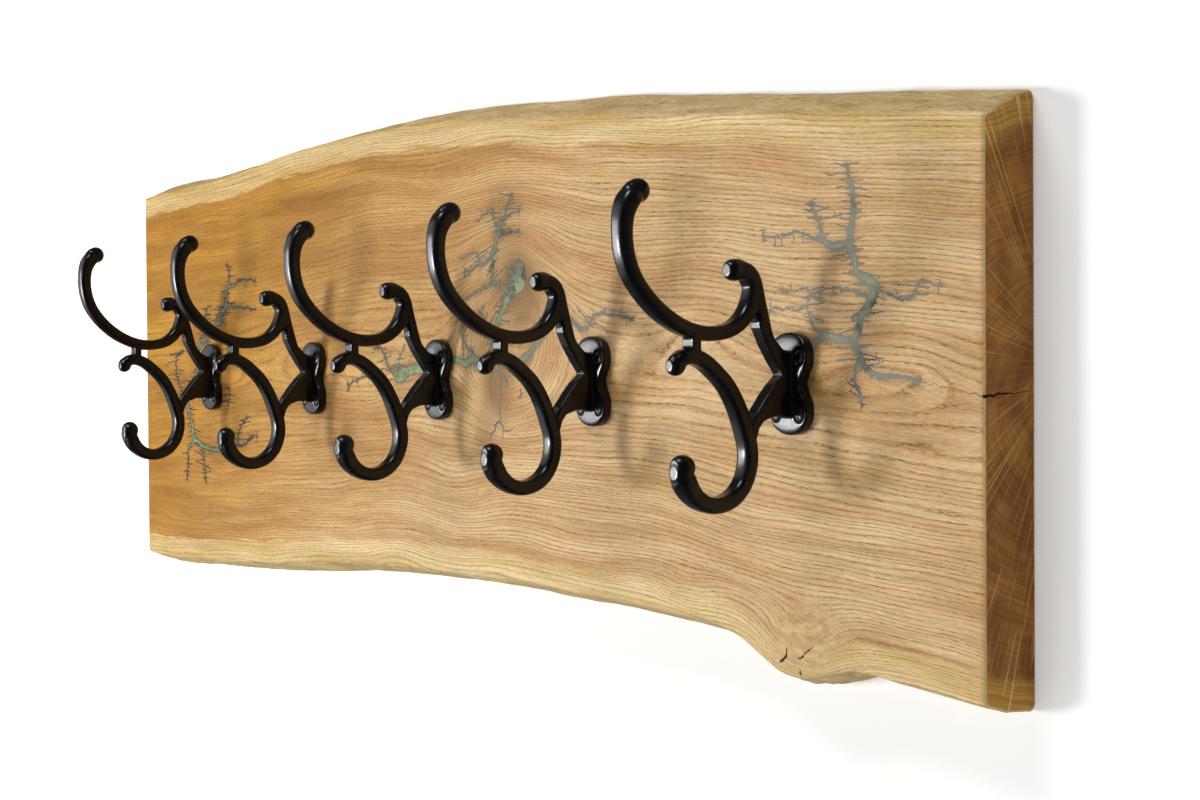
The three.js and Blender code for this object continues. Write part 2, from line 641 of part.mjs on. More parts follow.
const hook = hookSolid();
const hookScrew = screwSolid(HOOK_SCREW);
hookXs.forEach((hookX, i) => {
  const station = new THREE.Group();
  station.position.set(hookX, -BOARD_THICKNESS, HOOK_ROW_HEIGHT);
  addPiece(station, `hook_${i + 1}`, hook, castIron);
  for (const [place, x, z] of hookScrewPlaces()) {
    const name = `hook_${i + 1}_screw_${place}`;
    addPiece(station, name, hookScrew, blackScrew).position.set(x, -PLATE_THICKNESS, z);
  }
  rack.add(station);
});

const hangerPlate = hangerPlateSolid();
const hangerScrew = turnedRound(screwSolid(HANGER_SCREW));
for (const [side, x] of hangerSides) {
  const station = new THREE.Group();
  station.position.set(x, 0, HANGER_HEIGHT);
  addPiece(station, `keyhole_plate_${side}`, hangerPlate, zincPlate);
  for (const [place, z] of hangerScrewPlaces()) {
    const name = `keyhole_plate_${side}_screw_${place}`;
    addPiece(station, name, hangerScrew, zincScrew).position.set(0, 0, z);
  }
  rack.add(station);
}

export default rack;
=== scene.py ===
"""Looks of the wall coat rack: a waney-edged oak slab with resin-filled burn figures,
and five black cast iron triple hooks screwed to it.

Sizes are written in millimetres in the model's own frame. X runs along the slab, Z is
up, the wall is the plane Y = 0 and the slab's front face is the plane Y = -32.
"""

import math

import bmesh
import bpy
import numpy as np
from mathutils import Matrix, Vector
from mathutils.geometry import delaunay_2d_cdt


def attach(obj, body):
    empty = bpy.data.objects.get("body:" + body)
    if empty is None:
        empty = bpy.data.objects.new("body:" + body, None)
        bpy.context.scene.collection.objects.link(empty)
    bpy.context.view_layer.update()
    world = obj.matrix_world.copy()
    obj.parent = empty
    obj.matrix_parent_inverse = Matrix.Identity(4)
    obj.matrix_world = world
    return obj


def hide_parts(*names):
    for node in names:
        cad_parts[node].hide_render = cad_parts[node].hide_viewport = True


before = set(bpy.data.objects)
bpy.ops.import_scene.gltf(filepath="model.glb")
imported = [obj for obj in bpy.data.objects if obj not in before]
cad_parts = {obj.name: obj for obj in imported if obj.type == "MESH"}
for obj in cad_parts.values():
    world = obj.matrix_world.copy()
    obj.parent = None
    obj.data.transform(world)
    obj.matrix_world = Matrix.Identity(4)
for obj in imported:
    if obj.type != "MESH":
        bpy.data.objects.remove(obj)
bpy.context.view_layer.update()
MM = 0.001

# Slab
BOARD_LENGTH = 1000
HALF_LENGTH = BOARD_LENGTH / 2
BOARD_HEIGHT = 288
BOARD_THICKNESS = 32
FRONT = -BOARD_THICKNESS
BACK_ARRIS = 4
EDGE_SOFTENING = 1.8
END_GAP = 0.2
END_ARRIS = 1.3
# End arrises' curve: distance from the end and how far in the face lies there
END_CURVE = [(0, END_ARRIS), (0.4, 0.45), (END_ARRIS, 0)]
END_MARGIN = 4
END_TAPER = 150
BOARD_COLUMNS = 400
BOARD_ROWS = 116
WANE_ROWS = 16
WANE_START = 0.06
BACK_GRID = 9.0
BACK_MARGIN = 6
TOP_FULLNESS = 1.24
BOTTOM_FULLNESS = 2.27
# Which finish a face of the slab has
ALONG_GRAIN, END_OF_GRAIN = range(2)

# Wander of the front face's edges and spread of the wane, by share of the length
TOP_EDGE = [
    (-0.5, -6), (-0.404, -2.3), (-0.318, 0.6), (-0.253, 6.5), (-0.202, 9.6),
    (-0.138, 12), (-0.079, 12.5), (0.004, 10.8), (0.078, 5.7), (0.125, 2.2),
    (0.189, -2.8), (0.239, -7.6), (0.285, -11.5), (0.337, -16.5), (0.408, -22.6),
    (0.5, -31.4),
]
BOTTOM_EDGE = [
    (-0.5, -10.5), (-0.465, -12.3), (-0.392, -9.3), (-0.333, -6.5), (-0.278, -3),
    (-0.209, 1.8), (-0.129, 8.3), (-0.056, 11.2), (0.005, 12.7), (0.074, 13.8),
    (0.143, 12.7), (0.206, 11.7), (0.264, 9.9), (0.3, 7.1), (0.318, 2.6),
    (0.335, -4.9), (0.351, -11.2), (0.367, -12.3), (0.383, -9.4), (0.406, -4.7),
    (0.443, -6.5), (0.5, -10.1),
]
TOP_SPREAD = [
    (-0.5, 12), (-0.46, 12), (-0.409, 9.6), (-0.332, 11.8), (-0.261, 10),
    (-0.132, 8.8), (-0.06, 10), (0.032, 11.7), (0.091, 12.6), (0.208, 14.1),
    (0.292, 13.6), (0.412, 13), (0.5, 13.1),
]
BOTTOM_SPREAD = [
    (-0.5, 7), (-0.384, 7.3), (-0.2, 9), (0, 8), (0.2, 8.6), (0.28, 8.6), (0.32, 9),
    (0.345, 8.4), (0.375, 6.4), (0.41, 5), (0.5, 5.6),
]
# How the grain lies between the two edges: gentler than the edges themselves
GRAIN_TOP = [(-0.5, -4), (-0.3, 2), (-0.1, 11), (0.05, 8), (0.25, -7), (0.5, -29)]
GRAIN_BOTTOM = [
    (-0.5, -12), (-0.3, -4), (-0.1, 8), (0.05, 12), (0.2, 9), (0.33, 1), (0.42, -6), (0.5, -11),
]
PITH_BEHIND = 20
RING_WIDTH = 2.1
# Places where the rings swell round a knot: x, z, reach along, reach up, swell
KNOTS = [
    (92, 20, 46, 60, 34), (97, 56, 15, 15, 8), (78, -20, 14, 22, 4), (-205, 2, 34, 17, 5),
    (366, -140, 32, 22, 17), (284, 20, 30, 12, 4), (440, 2, 46, 16, 5), (273, -120, 26, 12, 5),
    (-110, -20, 40, 16, 4), (-330, -6, 40, 14, 4),
]
# Where the grain lies higher, and dark knots: x, z, reach along, reach up
GRAIN_RISE = (20, -78, 46, 52)
DARK_KNOTS = [(101, 42, 29, 29), (73, -12, 24, 27)]
# Stains: the same, and how steeply they rise along x
STAINS = [(-497, -121.15, 34, 2.6, -0.05), (-187, 119, 70, 5, 0.02)]
BURL = (372, -134)
BURL_REACH = (32, 21)

# Row of hooks
HOOK_PITCH = 181
HOOK_ROW_SHIFT = 3.2
HOOK_ROW_HEIGHT = -9.3
HOOK_XS = [HOOK_ROW_SHIFT + (i - 2) * HOOK_PITCH for i in range(5)]

# Hook plate
PLATE_HEIGHT = 51.5
PLATE_THICKNESS = 6
LOBE_HALF_WIDTH = 15
LOBE_HALF_HEIGHT = 12.4
LOBE_FULLNESS = 2.3
LOBE_START = -38
# The plate's edge: how far in from the outline, and how far from the slab
PLATE_STEPS = [(0.5, 0), (0, 0.6), (0, 4.6), (0.3, 5.3), (0.9, 5.75), (2.2, 5.95), (4.4, 6)]
WAIST_HALF_WIDTH = 9.7

# Hook side view: out from the plate's front face, up from its centre, half depth
CUP_PATH = [
    (89.6, 92.8, 3.6), (91.4, 92, 4.8), (93.4, 90.4, 5), (97, 84.3, 4.6), (98.4, 74.3, 4.15),
    (97.6, 64.3, 4.15),
    (94.3, 54.3, 4.1), (83.6, 40.6, 4), (74, 33.1, 4), (64, 28, 3.9), (54, 25.3, 3.9),
    (46, 25, 3.8), (34, 27.7, 3.8), (26, 34.5, 3.9), (22.4, 42, 3.9), (21.4, 48, 3.6), (22, 52, 3),
]
STEM_PATH = [
    (13, 24, 2.9), (18, 37, 3.9), (20, 44.3, 4), (21.2, 49.5, 4.1), (24, 54.2, 4.3),
    (28, 56.6, 4.3), (32.6, 56.3, 3.6),
]
LOOP_PATH = [
    (67.8, 9.5, 3.4), (65, 13.3, 4), (59, 14.1, 4), (54, 12.7, 4), (44, 5.5, 4), (39, 0.8, 4),
    (34, -6.4, 4), (27, -22.7, 4.1), (24.4, -32.7, 4.1), (25.4, -42.7, 4.1), (28.5, -49.7, 4.1),
    (35, -56, 4.2), (45, -59, 4.2), (53, -57.3, 4.3), (60.6, -51.4, 4.8), (63.6, -46, 5.1),
    (64.7, -41.6, 4.2), (64.7, -40.2, 3.4),
]
ARM_BALLS = [
    (89.2, 93, 6), (90.9, 92.4, 5.9), (92.6, 91.3, 5.6), (94.2, 89.4, 5.2),
    (32.6, 56.2, 5.6), (30.6, 56.6, 5.4), (28.6, 56.6, 4.9), (67.8, 9.5, 5), (67, 11, 4.7),
    (64, -39.7, 6.4), (64.6, -42.4, 6.2), (64.1, -44.8, 6), (63.1, -47.2, 5.5),
]
ARM_HALF_WIDTH = 5.2
ARM_HALF_DEPTH = 4
ARM_SQUARENESS = 3.6
TIP_FLATNESS = 0.79
WEB_THICKNESS = 8.8
WEB_OUTLINE = [
    (-3, 15), (2.5, 15.8), (5.5, 17.6), (9.9, 22.3), (14.9, 32.3), (18.5, 40), (19.4, 28),
    (15.4, 19.8), (10.3, 11.6), (5.2, 4.4), (10.3, -0.2), (15.2, -5.8), (21.4, -14), (26, -24),
    (21.4, -26.7), (19.9, -21.7), (16.9, -18.2), (11, -16.2), (-3, -16.2),
]
# Middle out from the plate, half depth, and its bottom and top
POST = (58, 2.5, 13, 26)
POST_THICKNESS = 9.2
ARM_STEP = 1.4
CASTING_VOXEL = 0.5
# What a point of the casting's pattern belongs to
PLATE, WEB, ARM, BALL, DISH = range(5)

# Screws: radius of the head and of the shank, length, length of the tip, rise of the crown
HOOK_SCREW = (3.5, 2, 25, 4, 0.55)
HANGER_SCREW = (3.2, 1.75, 16, 3, 0.4)
RECESS_SIZE = {"Recess span": 3.8 * MM, "Recess width": 0.95 * MM, "Recess depth": 2.4 * MM}
THREAD_STEP = 1.4
HOOK_SCREW_SINK = 0.35
HANGER_SCREW_SINK = 0.5
HOOK_SCREW_PLACES = {
    "top_left": (-9.4, 13.35), "top_right": (9.4, 13.35),
    "bottom_left": (-9.4, -15.35), "bottom_right": (9.4, -15.35),
}
SCREW_DISH = 4.1
DISH_DEPTH = 2.4

# Keyhole plates
HANGER_XS = {"left": -270, "right": 270}
HANGER_Z = 60
HANGER_LENGTH = 60
HANGER_WIDTH = 20
HANGER_THICKNESS = 2
HANGER_SCREW_UP = 23
# Keyhole: radius and height of the round entry and of the slot's top
KEYHOLE_ENTRY = (5, -9)
KEYHOLE_SLOT = (2.5, 8)
POCKET_LENGTH = 32
POCKET_WIDTH = 13
POCKET_DEPTH = 8
FIT_GAP = 0.3

# Burn figures. Each branch is a list of (x, z, width), with x from the figure's own start.
UPPER_LEFT_FIGURE = [
    [(143, 33.6, 2.2), (150, 38, 3), (160, 43.4, 4), (165, 47, 4.2), (166, 52.6, 4),
     (164.5, 58, 3.2), (170, 60.7, 3.2), (171.4, 65.7, 2.6), (170.7, 71.4, 2.2), (167, 77, 1.6)],
    [(162, 43.8, 3.2), (170, 44.6, 2.8), (181.4, 44.6, 2.6), (193, 43.6, 2.2), (219, 41.4, 1.4)],
    [(168, 60, 3), (177, 60.7, 2.6), (184.3, 63, 2), (206, 64.3, 1.6), (219, 62.9, 1.2)],
    [(161, 43.6, 3.4), (154, 36.4, 3.2), (142, 28.8, 3), (128.7, 22, 3), (118.7, 17.3, 3.4),
     (105, 11.9, 3.2)],
    [(129.3, 47, 0.8), (123.2, 39.3, 1.2), (125, 31.4, 1.4), (120, 18.5, 1.8)],
]
LOWER_LEFT_FIGURE = [
    [(86.4, -32.9, 4), (91.4, -40, 4.6), (95, -47, 4.4), (97.1, -54, 4.2), (99.3, -59.3, 5),
     (107.1, -60.7, 4.2), (114.3, -63.6, 4.4), (121.4, -64.7, 4), (138.6, -66, 3.4),
     (160, -65, 3), (174.3, -62, 2.6), (200, -58.9, 1.8), (205.7, -54.6, 1.6), (218.6, -52.9, 1.2)],
    [(87, -34, 3.6), (88, -22, 3.4), (99, -12, 3.2), (107, -3, 3), (106, 10, 3),
     (114.3, 18.6, 3.2), (128.6, 19.3, 2.6)],
    [(99.3, -59.3, 4), (93, -63.6, 3.4), (88, -65, 3), (86.4, -75.7, 2.2), (83.6, -92, 1.4)],
    [(114.3, -63, 3.4), (118, -72.9, 2.4), (120, -87, 1.8), (121.4, -92, 1.2)],
    [(50, 7.5, 0.8), (78, 10.5, 1.1)],
    [(77, 10.3, 1), (65.3, 6.5, 1.3), (63, -4.1, 1.4), (71, -16.1, 1.6), (79, -26.5, 2),
     (86, -33, 3)],
    [(183.9, -59.6, 2), (186, -51.1, 1.5), (191.7, -44.9, 1.2), (201, -39.4, 0.9)],
    [(170, -16.4, 1.2), (168.5, -24, 3), (166.4, -31.4, 1.4)],
]
CENTRE_FIGURE = [
    [(-58, -9, 6), (-52.9, -7.1, 9), (-44.3, -4.6, 8.5), (-30, -2.4, 6.5), (-22.9, -3.4, 6),
     (-8, -1, 5), (8, 2.5, 5), (21.4, 3.4, 5), (34.3, 1, 5.5), (41.4, 3.2, 6), (55.7, 3.4, 5.4),
     (63, 6, 5), (69, 12, 4.6), (71.4, 23.6, 5), (77, 30.7, 5), (87, 42, 6.5), (97, 50, 6)],
    [(87, 43, 4.2), (82.7, 46.9, 3.8), (76.8, 49.5, 3.4), (69.6, 50.2, 3), (59.9, 48.6, 2.8),
     (54.9, 47.1, 2.4), (47.5, 45.5, 2.6), (41.3, 43.8, 2), (35, 42, 2), (27.3, 38.5, 1.4)],
    [(69.6, 50, 3.8), (68.4, 53.5, 3.6), (67.3, 58.4, 3.8), (68.6, 63.3, 3.6), (67.5, 67.6, 4.4),
     (71.1, 71.8, 3.4), (72.4, 76.6, 3.8), (76.1, 81.3, 3.4), (77, 85.6, 3.2), (82.9, 88.9, 2.4),
     (84.3, 93.6, 2), (91.4, 103.6, 1.2)],
    [(67.4, 67, 2.8), (60.1, 63.6, 2.2), (54, 62.2, 2.2), (50.9, 65.8, 1.8), (49.8, 69.6, 1.6),
     (45.5, 70.4, 1.5), (37.9, 68.3, 1.3), (27.8, 66.8, 0.9)],
    [(54, 62, 1.8), (47.8, 61, 1.7), (41.5, 59.4, 1.4), (34, 58.7, 1)],
    [(41.5, 59.4, 1.2), (40.2, 56.9, 1.1), (33.9, 55.9, 0.8)],
    [(-54, -4.6, 3), (-61.4, -1.4, 2.6), (-68.6, -1.4, 2.4), (-75, 6.4, 2), (-80, 11.4, 1.8),
     (-90, 11.4, 1.4)],
    [(60, 4.6, 4), (73, 1, 3.4), (86, -1, 3.4), (100, 2.1, 4), (118.6, 12.1, 3.6), (140, 27, 2.6),
     (152.9, 27.9, 2.6), (168.6, 20.7, 2.4), (175, 21.4, 2.2), (179.3, 26.4, 2),
     (204.3, 27.9, 1.8), (220, 25.7, 1.4)],
    [(31.4, 3, 1.2), (31.4, 10, 1), (28.6, 18.6, 0.8)],
    [(-58, -8, 2), (-68.6, -3.6, 1.2), (-101.4, -7.1, 1.1), (-130, -13.6, 0.8)],
    [(-55.7, -3, 1.4), (-53, 6, 1.1), (-47, 12.9, 0.8)],
    [(77, 84.3, 1.8), (71.4, 87.9, 1.4), (69.3, 95, 1.2), (50, 89.3, 0.8)],
    [(26.5, 41, 2.2), (31, 29.6, 2), (29.6, 22, 2), (32, 14.5, 2.2), (41.9, 7.5, 3), (47, 4, 4)],
    [(49.8, 34.2, 0.9), (57.1, 29.1, 1.4), (59.5, 22.9, 1.6), (66.6, 15.4, 1.8)],
    [(77.3, 80.4, 2.2), (91.5, 80.5, 1.7), (99.6, 80.1, 1.2)],
    [(82.9, 87.9, 1.6), (91.7, 92.6, 1.4), (99.8, 92.1, 1)],
]
# Resin in the knot's own fine shakes, which grow no twigs
KNOT_SHAKES = [
    [(71, 1, 3.2), (74.7, -4.9, 2.6), (77.1, -9.2, 1.8), (77, -15.3, 1.3), (76.9, -19, 1),
     (75.6, -24.5, 1), (75, -28.8, 1.1), (76.7, -32.4, 1.2), (74.9, -34.3, 1.7)],
    [(74.9, -34.3, 1.6), (71.9, -35.6, 1.2), (70, -36.9, 1.4), (69.4, -40.6, 1), (65.1, -41.9, 1.2),
     (64.5, -44.4, 0.9), (63.8, -46.9, 0.7)],
    [(74.9, -34.3, 1.6), (77.8, -36.1, 1.2), (79.6, -38.5, 1.2), (79.6, -40.3, 1.1),
     (78.3, -44, 0.9), (77.7, -47.1, 0.7)],
    [(79.6, -40.3, 1), (84.9, -40.2, 0.9), (90.8, -38.8, 0.7)],
    [(70, -36.9, 1), (67.8, -37.3, 0.7)],
    [(68.7, -3.7, 1.6), (65.1, -6.8, 1.4), (63.8, -9.2, 1.2), (63.7, -14.2, 1.1),
     (64.9, -19.1, 0.9), (66.8, -23.4, 0.7)],
    [(75.9, -4.9, 1), (81.9, -6.7, 1.1), (84.2, -9.7, 1), (86.5, -12.8, 0.7)],
    [(99.4, -13.9, 0.8), (100.5, -16.3, 1), (101, -18.7, 0.9), (98.1, -19.3, 0.8),
     (95.8, -21.2, 0.6)],
]
RIGHT_FIGURE = [
    [(-94.4, 97.5, 1.4), (-92.5, 90, 2.6), (-90, 80, 3), (-91.2, 66, 3.6), (-93.1, 60, 5),
     (-89, 50, 3.6), (-87.5, 43.8, 3.6), (-80, 41, 4.4), (-74.5, 37, 7), (-77.5, 30, 5.6),
     (-84, 23.8, 4.8), (-87, 16, 4.6), (-89.4, 11, 4.8), (-87, 7, 4), (-82.5, 0, 3.2),
     (-74, -4.4, 3), (-57.5, -5.6, 2.2), (-44, -7.2, 1.3)],
    [(-89, 11.8, 4), (-104, 13, 4), (-112.5, 15, 3.6), (-118.1, 12, 3.4), (-121, 8, 3)],
    [(-85.5, 4, 2.4), (-89.4, -7.5, 2), (-85, -13.8, 1.8), (-84, -18.8, 1.2)],
    [(-93, 59.6, 3.4), (-109, 58.8, 3.6), (-114, 62, 2.6), (-120, 62, 1.6), (-127.5, 65.6, 1.3),
     (-149, 65, 1.1), (-160, 65.6, 0.8)],
    [(-114, 61.4, 2.8), (-115, 70, 1.9), (-119.4, 75, 1.6), (-121.2, 80, 1.1)],
    [(-75, 37, 4), (-69, 35, 2.2), (-46.2, 33, 1.5), (-44, 38, 1.2), (-29.4, 36.3, 0.9)],
    [(-78, 33.8, 2), (-92, 36, 1.5), (-110, 37.6, 1.3), (-128, 37.6, 1.1), (-145, 37.2, 0.8)],
    [(-112.5, 15, 1.6), (-120, 18, 1.4), (-123, 23.8, 1.4), (-125.6, 28.8, 1.3),
     (-124, 33.8, 1.2), (-115, 35.6, 1)],
    [(-125.6, 28.8, 1.1), (-140, 28.2, 0.9), (-155, 28, 0.7)],
]
# Where each figure's x is counted from, its branches and the seed of its twigs
FIGURES = {
    "upper_left": (-HALF_LENGTH, UPPER_LEFT_FIGURE, 101),
    "lower_left": (-HALF_LENGTH, LOWER_LEFT_FIGURE, 202),
    "centre": (0, CENTRE_FIGURE, 303),
    "right": (HALF_LENGTH, RIGHT_FIGURE, 404),
}
# The filled knot and the notch that the resin leaves in it: x, z, radius
KNOT_DISC = (97, 53.3, 10)
KNOT_NOTCH = (93.4, 64, 3.6)
FIGURE_GRID = 0.45
FIGURE_MARGIN = 5
TRUNK_STEP = 2.5
TRUNK_ROUGHNESS = 0.55
TWIG_ROUGHNESS = 0.3
RESIN_PROUD = 0.03
CLEAR_OF_ZERO = 0.02
RESIN_DEPTH = 1.6

# Drying crack at the right end
CRACK_LENGTH = 47
CRACK_DEPTH = 19
CRACK_LEAST_DEPTH = 1.5
# Shares of the crack's depth at which its section has points
CRACK_STEPS = np.array([0, 0.04, 0.1, 0.2, 0.32, 0.45, 0.6, 0.78, 1.0, 1.25, 1.6])
BURL_CRACK_GRID = 0.25
BURL_CRACKS = [
    [(356.6, -142.6, 0.7), (356.9, -145, 1.3), (356, -147.4, 1.8), (353.6, -149.4, 1.5),
     (351, -150.8, 0.9)],
    [(366.2, -147.4, 0.7), (369.5, -145.9, 1.1), (373, -143.4, 0.9), (377.4, -140.6, 0.6)],
    [(367.2, -153.2, 0.8), (367.6, -154.4, 1.3), (368.3, -155.4, 0.9)],
]

# Room: its left, right, floor and ceiling, the floor's near and far ends, and how far the
# wall laps in behind the slab. The card's glow is what the camera sees, and the room's
# light falls on everything else.
ROOM = (-3200, 3000, -1150, 1800)
FLOOR_REACH = (-3400, 2600)
WALL_Y = 0.4
WALL_LAP = 2.6
CARD_GLOW = 0.23
ROOM_LIGHT = 0.06

# Camera: yaw, pitch and roll in degrees, place in metres
CAMERA_TURN = (56.6154, 1.19516, -0.40326)
CAMERA_PLACE = (1.21473, -0.70928, 0.00576)
CAMERA_LENS = 64.86


# Curves and unevenness

def smooth_line(points, at):
    """A smooth curve through (place, value) points, read at many places."""
    place, value = np.array(points, float).T
    slope = np.gradient(value, place)
    at = np.clip(at, place[0], place[-1])
    left = np.clip(np.searchsorted(place, at, side="right") - 1, 0, len(place) - 2)
    span = place[left + 1] - place[left]
    t = (at - place[left]) / span
    return (
        (2 * t**3 - 3 * t**2 + 1) * value[left]
        + (t**3 - 2 * t**2 + t) * span * slope[left]
        + (3 * t**2 - 2 * t**3) * value[left + 1]
        + (t**3 - t**2) * span * slope[left + 1]
    )


def spaced_path(points, step):
    """Points at even steps along a smooth curve through the given rows."""
    rows = np.array(points, float)
    spans = np.linalg.norm(np.diff(rows[:, :2], axis=0), axis=1)
    length = np.concatenate([[0], np.cumsum(spans)])
    at = np.linspace(0, length[-1], max(2, int(length[-1] / step) + 1))
    curves = [smooth_line(np.column_stack([length, column]), at) for column in rows.T]
    return np.column_stack(curves)


def ripple(seed, wave, *places):
    """Smooth unevenness between about -1 and 1, in waves of that length."""
    chance = np.random.default_rng(seed)
    total = 0
    for _ in range(8):
        way = chance.normal(size=len(places))
        way = way / np.linalg.norm(way) * 2 * math.pi / (wave * chance.uniform(0.7, 1.5))
        total = total + np.sin(sum(w * p for w, p in zip(way, places)) + chance.uniform(0, 6.3))
    return total / 4


def eased(value, low, high):
    """0 below low, 1 above high, and a smooth rise between."""
    t = np.clip((value - low) / (high - low), 0, 1)
    return t * t * (3 - 2 * t)


def bell(x, z, middle_x, middle_z, reach_x, reach_z):
    """1 at the middle and smoothly less away from it."""
    return np.exp(-(((x - middle_x) / reach_x) ** 2) - ((z - middle_z) / reach_z) ** 2)


# Meshes

def standing(flat, y):
    """Points of (x, z) stood up at that y."""
    return np.column_stack([flat[:, 0], 0 * flat[:, 0] + y, flat[:, 1]])


def grid_faces(rows, columns, turned=False):
    """Quads of a grid of points numbered row by row."""
    index = np.arange(rows * columns).reshape(rows, columns)
    corners = [index[:-1, :-1], index[1:, :-1], index[1:, 1:], index[:-1, 1:]]
    if turned:
        corners.reverse()
    return np.stack(corners, -1).reshape(-1, 4).tolist()


def mesh_of(name, points, faces=(), edges=(), materials=()):
    """A mesh from points in millimetres."""
    mesh = bpy.data.meshes.new(name)
    mesh.from_pydata((np.asarray(points, float) * MM).tolist(), list(edges), list(faces))
    for material in materials:
        mesh.materials.append(material)
    mesh.update()
    return mesh


class Parts:
    """Points, faces and edges gathered from several shapes, each of one kind."""

    def __init__(self):
        self.points, self.faces, self.edges = [], [], []
        self.kinds, self.face_kinds, self.reaches = [], [], []

    def put(self, points, faces=(), edges=(), kind=ALONG_GRAIN, reach=1):
        """Adds a shape; reach is how far each of its points spreads."""
        first = len(self.points)
        points = np.reshape(np.asarray(points, float), (-1, 3)).tolist()
        self.points += points
        self.faces += [[first + i for i in face] for face in faces]
        self.edges += [(first + a, first + b) for a, b in edges]
        self.kinds += [kind] * len(points)
        self.face_kinds += [kind] * len(faces)
        self.reaches.extend(np.broadcast_to(reach, len(points)))

    def mesh(self, name, materials=()):
        return mesh_of(name, self.points, self.faces, self.edges, materials)


def points_of(mesh):
    """A mesh's points in millimetres."""
    flat = np.empty(len(mesh.vertices) * 3, np.float32)
    mesh.vertices.foreach_get("co", flat)
    return flat.reshape(-1, 3).astype(float) / MM


def move_points(mesh, points):
    mesh.vertices.foreach_set("co", (np.asarray(points) * MM).astype(np.float32).ravel())
    mesh.update()


def store(mesh, name, values):
    """Keeps one number or one vector for each point of a mesh."""
    values = np.asarray(values, np.float32)
    kind, field = ("FLOAT_VECTOR", "vector") if values.ndim == 2 else ("FLOAT", "value")
    mesh.attributes.new(name, kind, "POINT").data.foreach_set(field, values.ravel())


def close_up(mesh, merge=0.0, sharp=None, outward=True):
    """Merges points closer than merge, turns faces outwards and smooths the edges that
    are less sharp than that angle in degrees."""
    shape = bmesh.new()
    shape.from_mesh(mesh)
    if merge:
        bmesh.ops.remove_doubles(shape, verts=shape.verts, dist=merge * MM)
    if outward:
        bmesh.ops.recalc_face_normals(shape, faces=shape.faces)
    shape.to_mesh(mesh)
    shape.free()
    if sharp:
        mesh.shade_smooth()
        mesh.set_sharp_from_angle(angle=math.radians(sharp))


def new_object(name, data):
    made = bpy.data.objects.new(name, data)
    bpy.context.scene.collection.objects.link(made)
    return made


def add_piece(name, mesh, slot, *nodes):
    """A piece that rides on the rack and stands for the given parts of the frame."""
    piece = new_object(name, mesh)
    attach(piece, "root")
    if nodes:
        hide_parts(*nodes)


# Node trees

def add_node(tree, kind, inputs, out=0, **settings):
    """Adds a node and gives what flows out of it. An input is a plain value, what flows
    out of another node, or a list of such."""
    node = tree.nodes.new(kind)
    for name, value in settings.items():
        setattr(node, name, value)
    for key, value in inputs.items():
        if isinstance(value, (Flow, list)):
            for one in value if isinstance(value, list) else [value]:
                tree.links.new(one.socket, node.inputs[key])
        else:
            node.inputs[key].default_value = value
    return Flow(tree, node.outputs[out]) if node.outputs else None


class Flow:
    """What flows out of a node. Arithmetic with it adds the nodes that it needs."""

    def __init__(self, tree, socket):
        self.tree, self.socket = tree, socket

    def maths(self, operation, *others):
        inputs = dict(enumerate((self, *others)))
        return add_node(self.tree, "ShaderNodeMath", inputs, operation=operation)

    def __add__(self, other):
        return self.maths("ADD", other)

    def __sub__(self, other):
        return self.maths("SUBTRACT", other)

    def __mul__(self, other):
        return self.maths("MULTIPLY", other)

    def __truediv__(self, other):
        return self.maths("DIVIDE", other)

    def __rtruediv__(self, other):
        return add_node(self.tree, "ShaderNodeMath", {0: other, 1: self}, operation="DIVIDE")

    def off(self, middle):
        """How far it is from the middle, to either side."""
        return (self - middle).maths("ABSOLUTE")

    def between(self, low, high, start=0.0, end=1.0):
        """Its way from low to high, eased, as a number from start to end."""
        inputs = {"Value": self, "From Min": low, "From Max": high, "To Min": start, "To Max": end}
        return add_node(self.tree, "ShaderNodeMapRange", inputs, interpolation_type="SMOOTHSTEP")

    def parts(self):
        """Its x, y and z."""
        node = add_node(self.tree, "ShaderNodeSeparateXYZ", {0: self}).socket.node
        return [Flow(self.tree, socket) for socket in node.outputs]

    def counted(self, *steps):
        """A place counted in these steps along x, y and z, or in one step for all."""
        x, y, z = steps if len(steps) == 3 else steps * 3
        inputs = {0: self, 1: (1 / x, 1 / y, 1 / z)}
        return add_node(self.tree, "ShaderNodeVectorMath", inputs, operation="MULTIPLY")

    def noise(self, steps, detail=2.0, roughness=0.5):
        """Smooth noise from 0 to 1 over a place, in swings of that size."""
        place = self.counted(*np.atleast_1d(steps))
        inputs = {"Vector": place, "Scale": 1.0, "Detail": detail, "Roughness": roughness}
        return add_node(self.tree, "ShaderNodeTexNoise", inputs)


def vector(x, y, z=0.0):
    tree = next(value.tree for value in (x, y, z) if isinstance(value, Flow))
    return add_node(tree, "ShaderNodeCombineXYZ", {0: x, 1: y, 2: z})


def paint(code):
    """A colour as seen, written as six hex digits, as the shader wants it."""
    seen = [int(code[i:i + 2], 16) / 255 for i in (0, 2, 4)]
    return tuple(c / 12.92 if c <= 0.04045 else ((c + 0.055) / 1.055) ** 2.4 for c in seen) + (1,)


